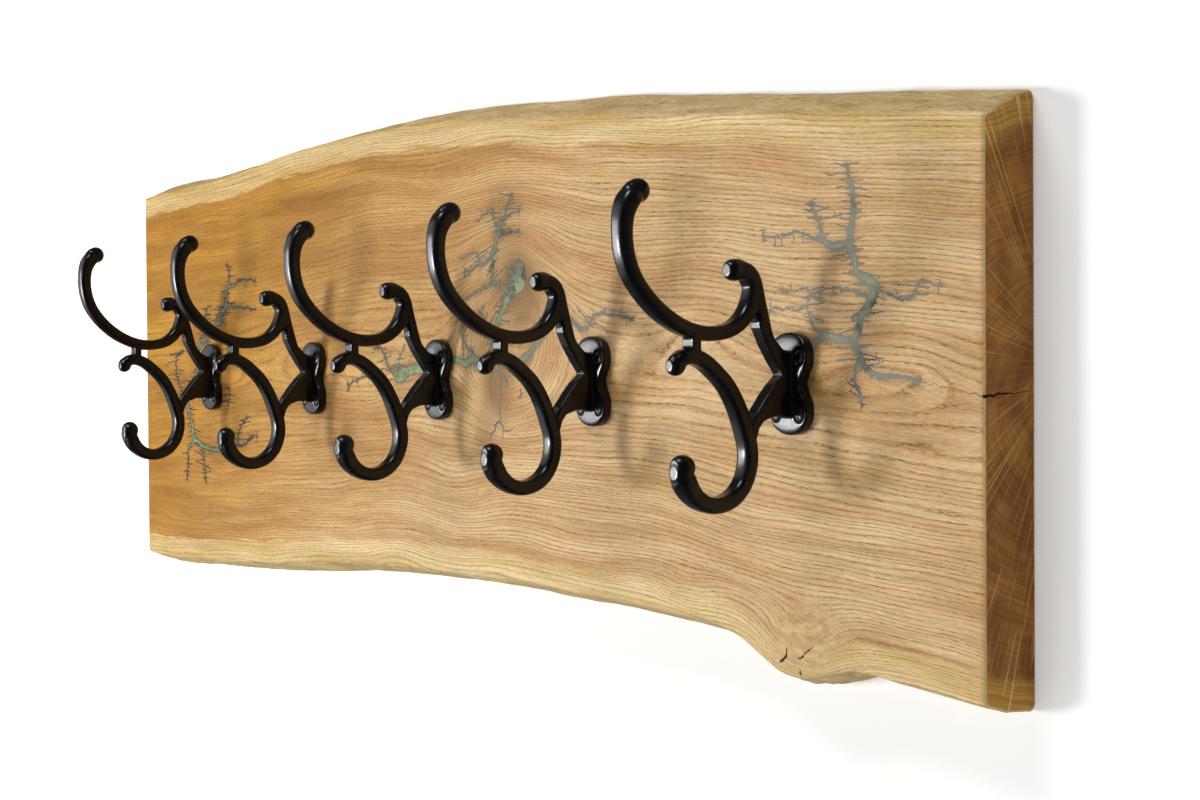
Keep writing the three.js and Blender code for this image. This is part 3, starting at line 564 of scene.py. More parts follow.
class Finish:
    """One material and what feeds its shader."""

    def __init__(self, name, **plain):
        self.material = bpy.data.materials.new(name)
        self.material.use_nodes = True
        self.tree = self.material.node_tree
        self.shader = self.tree.nodes["Principled BSDF"]
        for key, value in plain.items():
            self.shader.inputs[key.replace("_", " ")].default_value = value

    def add(self, kind, inputs=None, out=0, **settings):
        return add_node(self.tree, "ShaderNode" + kind, inputs or {}, out, **settings)

    def place(self):
        """The place on the piece in millimetres."""
        return self.add("TexCoord", out="Object").counted(MM)

    def kept(self, name, out="Vector"):
        return self.add("Attribute", out=out, attribute_name=name)

    def blend(self, a, share, b, how="MIX"):
        """This share of b over a; colours are codes or flows."""
        a, b = [paint(colour) if isinstance(colour, str) else colour for colour in (a, b)]
        return self.add("Mix", {0: share, 6: a, 7: b}, out=2, data_type="RGBA", blend_type=how)

    def bump(self, height, strength, depth, below=None):
        inputs = {"Height": height, "Strength": strength, "Distance": depth * MM}
        return self.add("Bump", inputs if below is None else {**inputs, "Normal": below})

    def done(self, colour, roughness, normal):
        """Feeds the shader and gives the finished material."""
        for key, value in (("Base Color", colour), ("Roughness", roughness), ("Normal", normal)):
            self.tree.links.new(value.socket, self.shader.inputs[key])
        return self.material


# Finishes

def oak_finish():
    """Oiled oak along the grain: ringed heartwood, pale sapwood and the weathered wane."""
    oak = Finish("oiled_oak", IOR=1.46, Specular_IOR_Level=0.05)
    grain = oak.kept("grain")
    along, ring, level = grain.parts()
    bark, wane, burl = oak.kept("edges").parts()
    knot, stain, burn = oak.kept("marks").parts()

    broad = grain.noise((160, 14, 40), 3, 0.55)
    cloud = grain.noise((60, 30, 30), 2, 0.5)
    waver = grain.noise((60, 5, 20), 2, 0.5)
    slow = grain.noise((400, 17, 60), 1, 0.5)
    turn = ((slow * 14 + (waver * 2 + ring)) / RING_WIDTH).maths("FRACT")
    early = turn.between(0, 0.08) * turn.between(0.52, 0.12) * knot.between(0.2, 0.9, 1, 0.35)

    dash = grain.noise((4.2, 0.4, 1.2), 3, 0.65)
    long_dash = grain.noise((40, 1.6, 4), 2, 0.5)
    fibre = grain.noise((6, 0.36, 0.8), 3, 0.6)
    line = (early * dash.between(0.47, 0.6)).maths("MAXIMUM", dash.between(0.61, 0.69) * 0.6)
    line = line * long_dash.between(0.35, 0.65, 0.2, 1)

    # Heartwood is darker golden towards the top and the left end and paler tan towards the bottom
    # and the right end: partly the wood's own tone, partly painted shade at the top left and
    # painted sheen at the bottom right.
    golden = oak.blend("9a681f", broad.between(0.3, 0.7), "c08d33")
    tan = oak.blend("c49b66", broad.between(0.3, 0.7), "e3c494")
    low = level * -1.4 + along
    heart = oak.blend(golden, low.between(-420, 260), tan)
    heart = oak.blend(heart, cloud.between(0.35, 0.75, 0, 0.22), "bd8a4f")
    heart = oak.blend(heart, knot.between(0.1, 0.9, 0, 0.85), "886640")
    heart = oak.blend(heart, early * 0.4, "a6753a")
    sap = oak.blend("d1b073", broad.between(0.35, 0.65), "e8ce9c")
    sap = oak.blend(sap, early * 0.5, "bb9656")
    # Sapwood too is darker towards the left end and the top: partly its own tone, partly painted
    # shade, as on the heartwood.
    sap = oak.blend(sap, low.between(-420, 260, 0.3, 0), "b48e4c")
    ragged = grain.noise((26, 2.2, 30), 3, 0.6)
    in_sap = (ragged * 11 + bark).between(22.5, 19.5)
    wood = oak.blend(heart, in_sap, sap)

    weather = grain.noise((30, 4, 6), 4, 0.6)
    rind = oak.blend("b59b6c", weather.between(0.35, 0.7), "cfb688")
    wood = oak.blend(wood, wane * 0.8, rind)
    lump = grain.noise((9, 5, 5), 3, 0.55)
    pale = oak.blend("c8a06c", lump.between(0.35, 0.7), "e0c08c")
    wood = oak.blend(wood, burl.between(0.25, 0.8, 0, 0.75), pale)
    wood = oak.blend(wood, stain * 0.6, "7a4522")
    wood = oak.blend(wood, burn * 0.42, "6b4a26")

    streak = grain.noise((24, 0.5, 2), 3, 0.6)
    ribbon = grain.noise((70, 1.7, 8), 2, 0.55)
    tone = fibre.between(0.3, 0.7, 0.82, 1.15) * streak.between(0.3, 0.7, 1.07, 0.92)
    wood = oak.blend(wood, 1.0, tone * ribbon.between(0.3, 0.7, 0.92, 1.07), "MULTIPLY")
    dark = line * burl.between(0.25, 0.75, 0.8, 0.1) * knot.between(0.15, 0.8, 1, 0.25)
    wood = oak.blend(wood, dark, oak.blend("74471f", in_sap, "8f6a32"))
    # The end arrises are painted paler.
    wood = oak.blend(wood, oak.kept("arris", "Fac") * 0.5, "dcbd8a")

    threads = oak.bump(fibre, 0.25, 0.08, oak.bump(line * -1, 0.5, 0.16))
    shine = wane * 0.12 + (line * 0.18 + fibre.between(0.25, 0.75, 0.4, 0.5))
    return oak.done(wood, shine, oak.bump(weather * wane, 0.8, 0.7, threads))


def end_grain_finish():
    """Oiled end grain: dark heartwood with arcs of rings and pale rays fanned from the pith."""
    end = Finish("oiled_end_grain", IOR=1.46, Specular_IOR_Level=0.35)
    place = end.place()
    x, y, z = place.parts()
    bark = end.kept("edges").parts()[0]
    ring = end.kept("grain").parts()[1]
    angle = z.maths("ARCTAN2", y * -1 + PITH_BEHIND)
    ray = vector(angle * 58, ring * 0.014, x).noise(1, 2, 0.55)
    faint = vector(angle * 170, ring * 0.02, x).noise(1, 2, 0.6)
    arc = vector(ring * 0.62, angle * 1.5, x).noise(1, 2, 0.5)
    speck = place.noise(0.5, 2, 0.6)
    broad = place.noise((30, 16, 22), 3, 0.55)

    heart = end.blend("8a5324", broad.between(0.32, 0.68), "b27838")
    heart = end.blend(heart, arc.between(0.4, 0.66, 0, 0.45), "713e18")
    sap = end.blend("a8762c", arc.between(0.35, 0.65), "c4933f")
    ragged = place.noise((10, 7, 7), 3, 0.6)
    in_sap = (ragged * 8 + bark).between(22.5, 16)
    wood = end.blend(heart, in_sap, sap)
    wood = end.blend(wood, ray.between(0.585, 0.63) * 0.7, end.blend("c8994f", in_sap, "e2c27e"))
    wood = end.blend(wood, faint.between(0.54, 0.68, 0, 0.5), end.blend("b98a4c", in_sap, "cfa55a"))
    wood = end.blend(wood, speck.between(0.55, 0.75, 0, 0.45), "583619")
    normal = end.bump(speck, 0.35, 0.12, end.bump(arc, 0.2, 0.1))
    return end.done(wood, speck.between(0.3, 0.7, 0.42, 0.58), normal)


def resin_finish():
    """Grey-green resin, slate at its edges and almost black where the wood is charred.
    Inside the knot it has dark clefts, a grey corner and pale veins."""
    resin = Finish("green_resin", IOR=1.45, Specular_IOR_Level=0.1)
    place = resin.place()
    x, _, z = place.parts()
    depth = resin.kept("depth", "Fac")
    cloud = place.noise((9, 9, 6), 3, 0.6)
    grit = place.noise((1.1, 1.1, 0.8), 2, 0.6)
    pale = resin.blend("79826a", cloud.between(0.35, 0.65), "8d9678")
    deep = resin.blend("6b7a50", cloud.between(0.35, 0.65), "8a9868")
    # The core and the slate edges are darker towards the left end and paler towards the right:
    # partly the resin's own tone, partly painted sheen towards the right, as on the wood.
    core = resin.blend(deep, x.between(-100, 360), pale)
    slate = resin.blend("36332a", x.between(-400, 420), "7d7b6f")
    colour = resin.blend(slate, ((grit - 0.5) * 1.6 + depth).between(0.55, 1.5), core)
    char = place.noise((22, 22, 16), 2, 0.55)
    colour = resin.blend(colour, char.between(0.56, 0.7, 0, 0.8), "2a221a")

    cleft = place.noise((4.5, 4.5, 7), 1, 0.5).off(0.5).between(0.035, 0.01) * depth.between(2.4, 4)
    shell = cloud.between(0.62, 0.42) * depth.between(4.6, 3)
    in_knot = x.off(KNOT_DISC[0]).between(14, 11) * z.off(KNOT_DISC[1] + 1).between(16, 12)
    colour = resin.blend(colour, cleft.maths("MAXIMUM", shell * in_knot) * 0.75, "34342a")
    corner = (z * -0.8 + (cloud * 12 + x)).between(64, 55)
    colour = resin.blend(colour, in_knot * corner * 0.85, "5c6156")
    vein = place.noise((6, 4, 4), 1, 0.5).off(0.5).between(0.022, 0.008)
    colour = resin.blend(colour, vein * in_knot * 0.6, "9aa083")
    return resin.done(colour, grit.between(0.3, 0.7, 0.42, 0.56), resin.bump(grit, 0.2, 0.1))


def dark_resin_finish():
    """Black resin in the drying crack, browner inside and grey-green where it runs out."""
    resin = Finish("dark_resin", IOR=1.45, Specular_IOR_Level=0.08)
    place = resin.place()
    cloud = place.noise((4, 4, 2), 3, 0.6)
    x = place.parts()[0]
    colour = resin.blend("17140f", cloud.between(0.4, 0.72), "3a2a1a")
    colour = resin.blend(colour, x.between(499.8, 498.5) * x.between(420, 440) * 0.9, "8d8862")
    return resin.done(colour, cloud.between(0.3, 0.7, 0.5, 0.66), resin.bump(cloud, 0.3, 0.1))


def iron_finish():
    """Black enamel on cast iron: the sand casting's slight unevenness shows in the gloss."""
    iron = Finish("black_cast_iron", IOR=1.5, Specular_IOR_Level=0.28,
                  Coat_Weight=0.16, Coat_Roughness=0.14)
    place = iron.place()
    cloud = place.noise(14, 2, 0.5)
    convex_edge = iron.add("NewGeometry", out="Pointiness")
    colour = iron.blend("08090a", cloud.between(0.35, 0.7), "0e0f10")
    # Convex edges are painted a lighter grey.
    colour = iron.blend(colour, convex_edge.between(0.53, 0.62, 0, 0.4), "21201d")
    waves = iron.bump(place.noise(2.2, 3, 0.55), 0.12, 0.2)
    pits = iron.bump(place.noise(0.7, 2, 0.6), 0.1, 0.05, waves)
    return iron.done(colour, cloud.between(0.3, 0.7, 0.22, 0.3), pits)


def steel_finish(name, dark, light, metallic, roughness, scratch):
    """Plated or painted steel with fine turning marks and a little tarnish."""
    steel = Finish(name, Metallic=metallic)
    place = steel.place()
    colour = steel.blend(dark, place.noise(6, 3, 0.6).between(0.3, 0.7), light)
    marks = place.noise((4, 0.3, 0.4), 2, 0.6)
    gloss = marks.between(0.3, 0.7, roughness - 0.06, roughness + 0.08)
    return steel.done(colour, gloss, steel.bump(marks, scratch, 0.05))


OAK = oak_finish()
END_GRAIN = end_grain_finish()
GREEN_RESIN = resin_finish()
DARK_RESIN = dark_resin_finish()
IRON = iron_finish()
BLACK_STEEL = steel_finish("black_screw", "0d0d0d", "1b1b1a", 0.4, 0.34, 0.15)
ZINC_PLATE = steel_finish("zinc_plate", "9fa19f", "c2c3bf", 1.0, 0.36, 0.3)
ZINC_SCREW = steel_finish("zinc_screw", "a3a4a2", "c8c8c5", 1.0, 0.3, 0.2)


# Slab

def edge_lines(x):
    """Heights of the front face's edges and spreads of the wane at each x."""
    share = np.asarray(x) / BOARD_LENGTH
    top = BOARD_HEIGHT / 2 + smooth_line(TOP_EDGE, share)
    bottom = -BOARD_HEIGHT / 2 + smooth_line(BOTTOM_EDGE, share)
    return top, bottom, smooth_line(TOP_SPREAD, share), smooth_line(BOTTOM_SPREAD, share)


def wane_depth(t, fullness):
    """How far out the wane has come at share t of its way from front to back."""
    return 1 - (1 - np.clip(t, 0, 1)) ** fullness


def edge_chain(spread, fullness):
    """One edge of the slab's section from the front face round to the back: y, and
    distance out from the front face's edge, for each x."""
    way = BOARD_THICKNESS - BACK_ARRIS
    rim_out = spread * wane_depth(WANE_START, fullness)
    chain = [(FRONT + t * t * WANE_START * way, rim_out * t * t - EDGE_SOFTENING * (1 - t) ** 2)
             for t in (0, 0.25, 0.5, 0.75)]
    chain += [(FRONT + t * way, spread * wane_depth(t, fullness))
              for t in np.linspace(WANE_START, 1, WANE_ROWS)]
    chain += [(BACK_ARRIS * (math.sin(a) - 1), spread - BACK_ARRIS * (1 - math.cos(a)))
              for a in np.radians([22.5, 45, 67.5, 90])]
    ys = [0 * spread + y for y, _ in chain]
    return np.column_stack(ys), np.column_stack([out for _, out in chain])


def section_lines(x):
    """y and z of the slab's top and bottom edge chains at each x."""
    top, bottom, top_spread, bottom_spread = edge_lines(x)
    top_y, top_out = edge_chain(top_spread, TOP_FULLNESS)
    bottom_y, bottom_out = edge_chain(bottom_spread, BOTTOM_FULLNESS)
    xs = np.asarray(x)[:, None]
    # Between the faces the wane is uneven and lies in a little, most of all round the burl
    bare = eased(top_y, FRONT + 0.4, FRONT + 7) * eased(top_y, -0.2, -5)
    hollow = 0.75 + 0.5 * ripple(3, 95, xs, 7 * top_y) + 0.25 * ripple(4, 30, xs, 4 * top_y)
    top_z = top[:, None] + top_out - bare * np.clip(hollow, 0, 2)
    hollow = 0.6 + 0.45 * ripple(5, 80, xs, 6 * bottom_y) + 0.25 * ripple(6, 26, xs, 4 * bottom_y)
    near_burl = bell(xs, 0, BURL[0], 0, 45, 1)
    hollow = hollow + near_burl * (0.9 + 0.9 * ripple(7, 13, xs, 1.6 * bottom_y))
    bottom_z = bottom[:, None] - bottom_out + bare * np.clip(hollow, 0, 3)
    return top_y, top_z, bottom_y, bottom_z


def grain_of(points):
    """Along the grain, ring by ring, and across, in millimetres, at each point."""
    x, y, z = points.T
    share = x / BOARD_LENGTH
    top = BOARD_HEIGHT / 2 + smooth_line(GRAIN_TOP, share)
    bottom = -BOARD_HEIGHT / 2 + smooth_line(GRAIN_BOTTOM, share)
    level = BOARD_HEIGHT * ((z - bottom) / (top - bottom) - 0.5)
    level = level + 2.2 * ripple(11, 170, x, 2.2 * z) + 0.7 * ripple(12, 55, x, 2.5 * z, 3 * y)
    level = level + 7 * bell(x, z, *GRAIN_RISE)
    ring = np.hypot(y - PITH_BEHIND, level)
    for *knot, swell in KNOTS:
        ring = ring - swell * np.minimum(bell(x, z, *knot), 0.8)
    return np.column_stack([x + 0.3 * z, ring, level])


def edges_of(points):
    """Distance in from the bark, share of wane and share of burl at each point."""
    x, y, z = points.T
    top, bottom, top_spread, bottom_spread = edge_lines(x)
    t = (y - FRONT) / (BOARD_THICKNESS - BACK_ARRIS)
    from_top = top + top_spread * wane_depth(t, TOP_FULLNESS) - z
    from_bottom = z - bottom + bottom_spread * wane_depth(t, BOTTOM_FULLNESS)
    bark = np.minimum(from_top, from_bottom)
    wane = eased(y, FRONT + 0.3, FRONT + 3) * eased(bark, 4, 2)
    spread = 1 + 0.25 * ripple(21, 24, x, z)
    burl = bell(x, z, *BURL, *[reach * spread for reach in BURL_REACH])
    return np.column_stack([bark, wane, burl])


def arris_of(points):
    """The end arrises along the front, painted as a paler strip."""
    x, y = points.T[:2]
    edge = HALF_LENGTH - END_GAP - END_ARRIS
    return eased(np.abs(x), edge + 0.1, edge + 0.8) * eased(y, -24, -28)


def marks_of(points):
    """Closeness to a knot, to a stain and to the burn figures."""
    x, y, z = points.T
    upper, lower = [bell(x, z, *knot) for knot in DARK_KNOTS]
    knot = np.maximum(upper, 0.9 * lower) * (0.35 + 0.65 * eased(y, -8, -24))
    left, middle = [bell(x, z - rise * (x - stain[0]), *stain) for *stain, rise in STAINS]
    stain = left + 0.6 * middle
    burn = np.zeros(len(points))
    branches = [(start, branch) for start, figure, _ in FIGURES.values() for branch in figure]
    for start, branch in branches:
        for px, pz, width in spaced_path(branch, TRUNK_STEP):
            far = np.hypot(x - start - px, z - pz) - width / 2
            burn = np.maximum(burn, np.exp(-np.clip(far, 0, None) / (0.5 + 0.35 * width)))
    far = np.hypot(x - KNOT_DISC[0], z - KNOT_DISC[1]) - KNOT_DISC[2]
    burn = np.maximum(burn, np.exp(-np.clip(far, 0, None) / 4))
    return np.column_stack([knot, stain, burn * eased(y, -28, -31.5)])


def stadium(length, width, grow, count=40):
    """Points round a plate's outline with half round ends."""
    radius = width / 2 + grow
    turn = (np.arange(count) + 0.5) * 2 * math.pi / count
    rise = radius * np.sin(turn) + (length - width) / 2 * np.sign(np.sin(turn))
    return np.column_stack([radius * np.cos(turn), rise])


def back_face(rim, holes):
    """Triangles over the flat back inside its rim, with the holes left out."""
    loops = [rim, *holes]
    # Points inside too, because the grain is kept at points
    along, upward = np.arange(-490, 491, BACK_GRID), np.arange(-146, 148, BACK_GRID)
    spread = [(x, z) for x in along for z in upward]
    low, high = rim.min(0) + BACK_MARGIN, rim.max(0) - BACK_MARGIN
    inner = [p for p in spread if low[0] < p[0] < high[0] and low[1] < p[1] < high[1]]
    flat = [Vector(p) for loop in loops for p in loop] + [Vector(p) for p in inner]
    faces, start = [], 0
    for loop in loops:
        faces.append(list(range(start, start + len(loop))))
        start += len(loop)
    found = delaunay_2d_cdt(flat, [], faces, 0, 1e-6)
    kept = [t for t, owners in zip(found[2], found[5]) if owners == [0]]
    return np.array([tuple(p) for p in found[0]]), kept


def slab_mesh():
    """The slab's long faces, its ends, and its back with a recess for each keyhole plate."""
    inner = np.linspace(END_MARGIN - HALF_LENGTH, HALF_LENGTH - END_MARGIN, BOARD_COLUMNS)
    end = HALF_LENGTH - END_GAP
    along, inset = np.array(END_CURVE).T
    x = np.concatenate([along - end, inner, end - along[::-1]])
    inset = np.concatenate([inset, 0 * inner, inset[::-1]])[:, None]
    top_y, top_z, bottom_y, bottom_z = section_lines(x)
    half = BOARD_THICKNESS / 2
    middle = (top_z[:, :1] + bottom_z[:, :1]) / 2
    top, bottom = [
        np.stack([0 * y + x[:, None], (y + half) * (1 - inset / half) - half,
                  middle + (z - middle) * (1 - inset / END_TAPER)], -1)
        for y, z in ((top_y, top_z), (bottom_y, bottom_z))
    ]
    rise = np.linspace(0, 1, BOARD_ROWS)[None, :, None]

    def upright(at, k):
        """Points from the bottom chain's k-th line up to the top chain's."""
        return bottom[at, k][:, None] * (1 - rise) + top[at, k][:, None] * rise

    parts = Parts()
    chain, last = top.shape[1], len(x) - 1
    sheets = [(top, False), (bottom, True), (upright(slice(None), 0), False),
              (upright(slice(3), chain - 1), True), (upright(slice(-3, None), chain - 1), True)]
    for sheet, turned in sheets:
        parts.put(sheet, grid_faces(*sheet.shape[:2], turned))
    for at, turned in ((0, True), (last, False)):
        cap = np.concatenate([upright([at], k) for k in range(chain)])
        parts.put(cap, grid_faces(*cap.shape[:2], turned), kind=END_OF_GRAIN)

    left, right = upright([2], chain - 1)[0], upright([last - 2], chain - 1)[0]
    rim = [bottom[2:-2, -1], right[1:-1], top[2:-2, -1][::-1], left[1:-1][::-1]]
    recesses = [stadium(HANGER_LENGTH, HANGER_WIDTH, FIT_GAP) + [at, HANGER_Z]
                for at in HANGER_XS.values()]
    flat, triangles = back_face(np.concatenate(rim)[:, [0, 2]], recesses)
    parts.put(standing(flat, 0), [t[::-1] for t in triangles])
    floor = -HANGER_THICKNESS
    for at, recess in zip(HANGER_XS.values(), recesses):
        pocket = stadium(POCKET_LENGTH, POCKET_WIDTH, 0) + [at, HANGER_Z]
        loops = [(recess, 0), (recess, floor), (pocket, floor), (pocket, floor - POCKET_DEPTH)]
        rings = np.stack([standing(np.concatenate([loop, loop[:1]]), y) for loop, y in loops])
        count = rings.shape[1]
        parts.put(rings, grid_faces(4, count) + [list(range(3 * count, 4 * count - 1))])

    mesh = parts.mesh("slab", (OAK, END_GRAIN))
    mesh.polygons.foreach_set("material_index", parts.face_kinds)
    close_up(mesh, merge=0.002, sharp=40)
    where = points_of(mesh)
    rules = {"grain": grain_of, "edges": edges_of, "marks": marks_of, "arris": arris_of}
    for name, rule in rules.items():
        store(mesh, name, rule(where))
    return mesh


add_piece("oak_slab", slab_mesh(), "oak_board", "board")


# Burn figures

def grain_way(places):
    """Unit steps along the grain and across it at places on the slab's front."""

    def ring(right, up):
        return grain_of(standing(places + [right, up], FRONT))[:, 1]

    slope = np.column_stack([ring(0.6, 0) - ring(-0.6, 0), ring(0, 0.6) - ring(0, -0.6)])
    slope = slope / np.maximum(np.linalg.norm(slope, axis=1), 1e-6)[:, None]
    slope = slope * np.where(slope[:, 1] < 0, -1, 1)[:, None]
    return np.column_stack([slope[:, 1], -slope[:, 0]]), slope


def grown(starts, chance):
    """Twigs from rows of x, z, whether it runs across the grain, way, reach and width."""
    rows = np.array(starts, float)
    place, turned = rows[:, :2].copy(), rows[:, 2:3] > 0.5
    way, reach, width = rows[:, 3:4], rows[:, 4], rows[:, 5]
    drift = chance.uniform(-0.2, 0.2, (len(rows), 1))
    twigs = [[(x, z, w)] for (x, z), w in zip(place, width)]
    for step in range(1, 20):
        along, across = grain_way(place)
        ahead, aside = np.where(turned, across, along), np.where(turned, along, across)
        place = place + way * (ahead + drift * aside)
        share = step / np.maximum(reach, 1)
        for i in np.flatnonzero(share <= 1.001):
            twigs[i].append((*place[i], width[i] * (1 - 0.4 * share[i])))
    return twigs


def twigs_of(branches, chance):
    """Burnt twigs: along the grain from steep stretches, and small spurs that fork from
    level ones."""
    first = []
    for branch in branches:
        path = spaced_path(branch, 1.0)
        thick = path[:, 2].max()
        at = chance.uniform(1, 4)
        while at < len(path) - 1:
            here, ahead = path[int(at)], path[min(len(path) - 1, int(at) + 2)]
            run, climb = ahead[0] - here[0], ahead[1] - here[1]
            if abs(climb) > 0.5 * abs(run):
                for way in (-1, 1):
                    if chance.random() < (0.85 if thick > 1.6 else 0.5):
                        reach = 3 + chance.gamma(2.4, 3.0 if thick > 1.5 else 1.8)
                        first.append((here[0], here[1], 0, way, min(reach, 18), 1.1))
                at += chance.uniform(2.2, 4.6)
            else:
                if thick > 1.6:
                    way, reach = chance.choice([-1, 1]), chance.uniform(1, 5.5)
                    first.append((here[0], here[1], 1, way, reach, 0.8))
                at += chance.uniform(4.5, 11)
        tip = path[-1]
        for across, way in ((0, -1), (0, 1), (1, 1), (1, -1)):
            first.append((tip[0], tip[1], across, way, chance.uniform(1.5, 5), 0.8))
    twigs = grown(first, chance)
    second = []
    for row, twig in zip(first, twigs):
        last = len(twig) - 1
        if row[2]:
            for way in (-1, 1):
                for spot in {last, last // 2}:
                    if chance.random() < 0.4:
                        x, z, _ = twig[spot]
                        second.append((x, z, 0, way, chance.uniform(1.5, 5.5), 0.7))
        elif last > 4:
            for _ in range(last // 4):
                if chance.random() < 0.35:
                    x, z, _ = twig[chance.integers(2, last)]
                    second.append((x, z, 1, chance.choice([-1, 1]), chance.uniform(1, 3), 0.6))
    return twigs + grown(second, chance)


def branch_field(xs, zs, branches, seed, roughness):
    """How far each grid point lies inside the branches, in millimetres."""
    field = np.full((len(xs), len(zs)), -9.0)
    x, z = np.meshgrid(xs, zs, indexing="ij")
    warped_x = x + roughness * (ripple(seed, 3.4, x, z) + 1.1 * ripple(seed + 1, 9, x, z))
    warped_z = z + roughness * (ripple(seed + 2, 3.0, x, z) + 1.1 * ripple(seed + 3, 9, x, z))
    stretches = [pair for branch in branches for pair in zip(branch, branch[1:])]
    for (x0, z0, w0), (x1, z1, w1) in stretches:
        reach = max(w0, w1) / 2 + 3
        i0, i1 = np.searchsorted(xs, [min(x0, x1) - reach, max(x0, x1) + reach])
        j0, j1 = np.searchsorted(zs, [min(z0, z1) - reach, max(z0, z1) + reach])
        px, pz = warped_x[i0:i1, j0:j1], warped_z[i0:i1, j0:j1]
        run, climb = x1 - x0, z1 - z0
        t = ((px - x0) * run + (pz - z0) * climb) / max(run**2 + climb**2, 1e-6)
        t = np.clip(t, 0, 1)
        far = np.hypot(px - x0 - t * run, pz - z0 - t * climb)
        inside = (w0 + (w1 - w0) * t) / 2 - far
        field[i0:i1, j0:j1] = np.maximum(field[i0:i1, j0:j1], inside)
    return field


def cut_sheet(xs, zs, field):
    """Triangles where a field over a grid is above zero, cut along its zero line:
    flat points, their field values and the triangles."""
    x, z = np.meshgrid(xs, zs, indexing="ij")
    points = np.column_stack([x.ravel(), z.ravel()])
    value = field.ravel()
    index = np.arange(len(value)).reshape(field.shape)
    a, b, c, d = index[:-1, :-1], index[1:, :-1], index[1:, 1:], index[:-1, 1:]
    triangles = np.concatenate([np.stack(t, -1).reshape(-1, 3) for t in ((a, b, c), (a, c, d))])
    inside = value[triangles] > 0
    count = inside.sum(1)

    def turned(corners, pick, order):
        """The triangles with so many corners inside, turned to start at the odd corner."""
        start = pick(inside[count == corners], 1)[:, None]
        return np.take_along_axis(triangles[count == corners], (start + order) % 3, 1)

    one, two = turned(1, np.argmax, [0, 1, 2]), turned(2, np.argmin, [1, 2, 0])
    crossed = np.concatenate([one[:, [0, 1]], one[:, [0, 2]], two[:, [1, 2]], two[:, [0, 2]]])
    pairs, place = np.unique(np.sort(crossed, 1), axis=0, return_inverse=True)
    p1, q1, p2, q2 = np.split(place.ravel() + len(value), np.cumsum([len(one), len(one), len(two)]))
    near, far = value[pairs].T
    share = (near / (near - far))[:, None]
    start, end = points[pairs[:, 0]], points[pairs[:, 1]]
    points = np.concatenate([points, start * (1 - share) + end * share])
    value = np.concatenate([value, 0 * near])
    triangles = np.concatenate([
        triangles[count == 3], np.column_stack([one[:, 0], p1, q1]),
        np.column_stack([two[:, 0], two[:, 1], p2]), np.column_stack([two[:, 0], p2, q2]),
    ])
    used, triangles = np.unique(triangles, return_inverse=True)
    return points[used], value[used], triangles.reshape(-1, 3)


def inlay_mesh(name, sheet, proud, depth, material):
    """A thin closed piece over flat triangles, standing a hair proud of the slab."""
    flat, value, triangles = sheet
    count = len(flat)
    crown = proud + 0.04 * np.clip(value / 1.5, 0, 1)
    sides = np.concatenate([triangles[:, [0, 1]], triangles[:, [1, 2]], triangles[:, [2, 0]]])
    _, first, times = np.unique(np.sort(sides, 1), axis=0, return_index=True, return_counts=True)
    rim = sides[first[times == 1]]
    walls = np.column_stack([rim[:, ::-1], rim + count])
    faces = triangles.tolist() + (triangles[:, ::-1] + count).tolist() + walls.tolist()
    points = np.concatenate([standing(flat, FRONT - crown), standing(flat, FRONT + depth)])
    mesh = mesh_of(name, points, faces, materials=[material])
    store(mesh, "depth", np.concatenate([value, 0 * value]))
    close_up(mesh, merge=0.001, sharp=50, outward=False)
    return mesh


def rows_along(branch, step):
    return [tuple(row) for row in spaced_path(branch, step)]


def knot_field(x, z, seed):
    """How far each grid point lies inside the knot's disc and outside its notch."""
    wobble = 1.1 * ripple(seed, 9, x, z) + 0.35 * ripple(seed + 5, 3, x, z)
    reach = np.hypot((x - KNOT_DISC[0]) * 1.05, (z - KNOT_DISC[1]) * 0.9)
    notch = np.hypot(x - KNOT_NOTCH[0], (z - KNOT_NOTCH[1]) * 0.7) - KNOT_NOTCH[2]
    return np.minimum(KNOT_DISC[2] + wobble - reach, notch)


def figure_mesh(side, start, figure, seed):
    """The resin in one burn figure; the centre one also fills the knot."""
    placed = [[(start + x, z, w) for x, z, w in branch] for branch in figure]
    trunks = [rows_along(branch, TRUNK_STEP) for branch in placed]
    twigs = twigs_of(placed, np.random.default_rng(seed))
    if side == "centre":
        twigs += [rows_along(shake, 2) for shake in KNOT_SHAKES]
    rows = np.array([row for branch in trunks + twigs for row in branch])
    low, high = rows[:, :2].min(0) - FIGURE_MARGIN, rows[:, :2].max(0) + FIGURE_MARGIN
    xs = np.arange(low[0], min(high[0], HALF_LENGTH - 2), FIGURE_GRID)
    zs = np.arange(low[1], high[1], FIGURE_GRID)
    field = branch_field(xs, zs, trunks, seed, TRUNK_ROUGHNESS)
    field = np.maximum(field, branch_field(xs, zs, twigs, seed + 10, TWIG_ROUGHNESS))
    if side == "centre":
        field = np.maximum(field, knot_field(*np.meshgrid(xs, zs, indexing="ij"), seed))
    clear = np.where(field > 0, CLEAR_OF_ZERO, -CLEAR_OF_ZERO)
    sheet = cut_sheet(xs, zs, np.where(np.abs(field) < CLEAR_OF_ZERO, clear, field))
    return inlay_mesh("resin_" + side, sheet, RESIN_PROUD, RESIN_DEPTH, GREEN_RESIN)


for side, figure in FIGURES.items():
    add_piece("resin_" + side, figure_mesh(side, *figure), "green_resin", "resin_inlay_" + side)


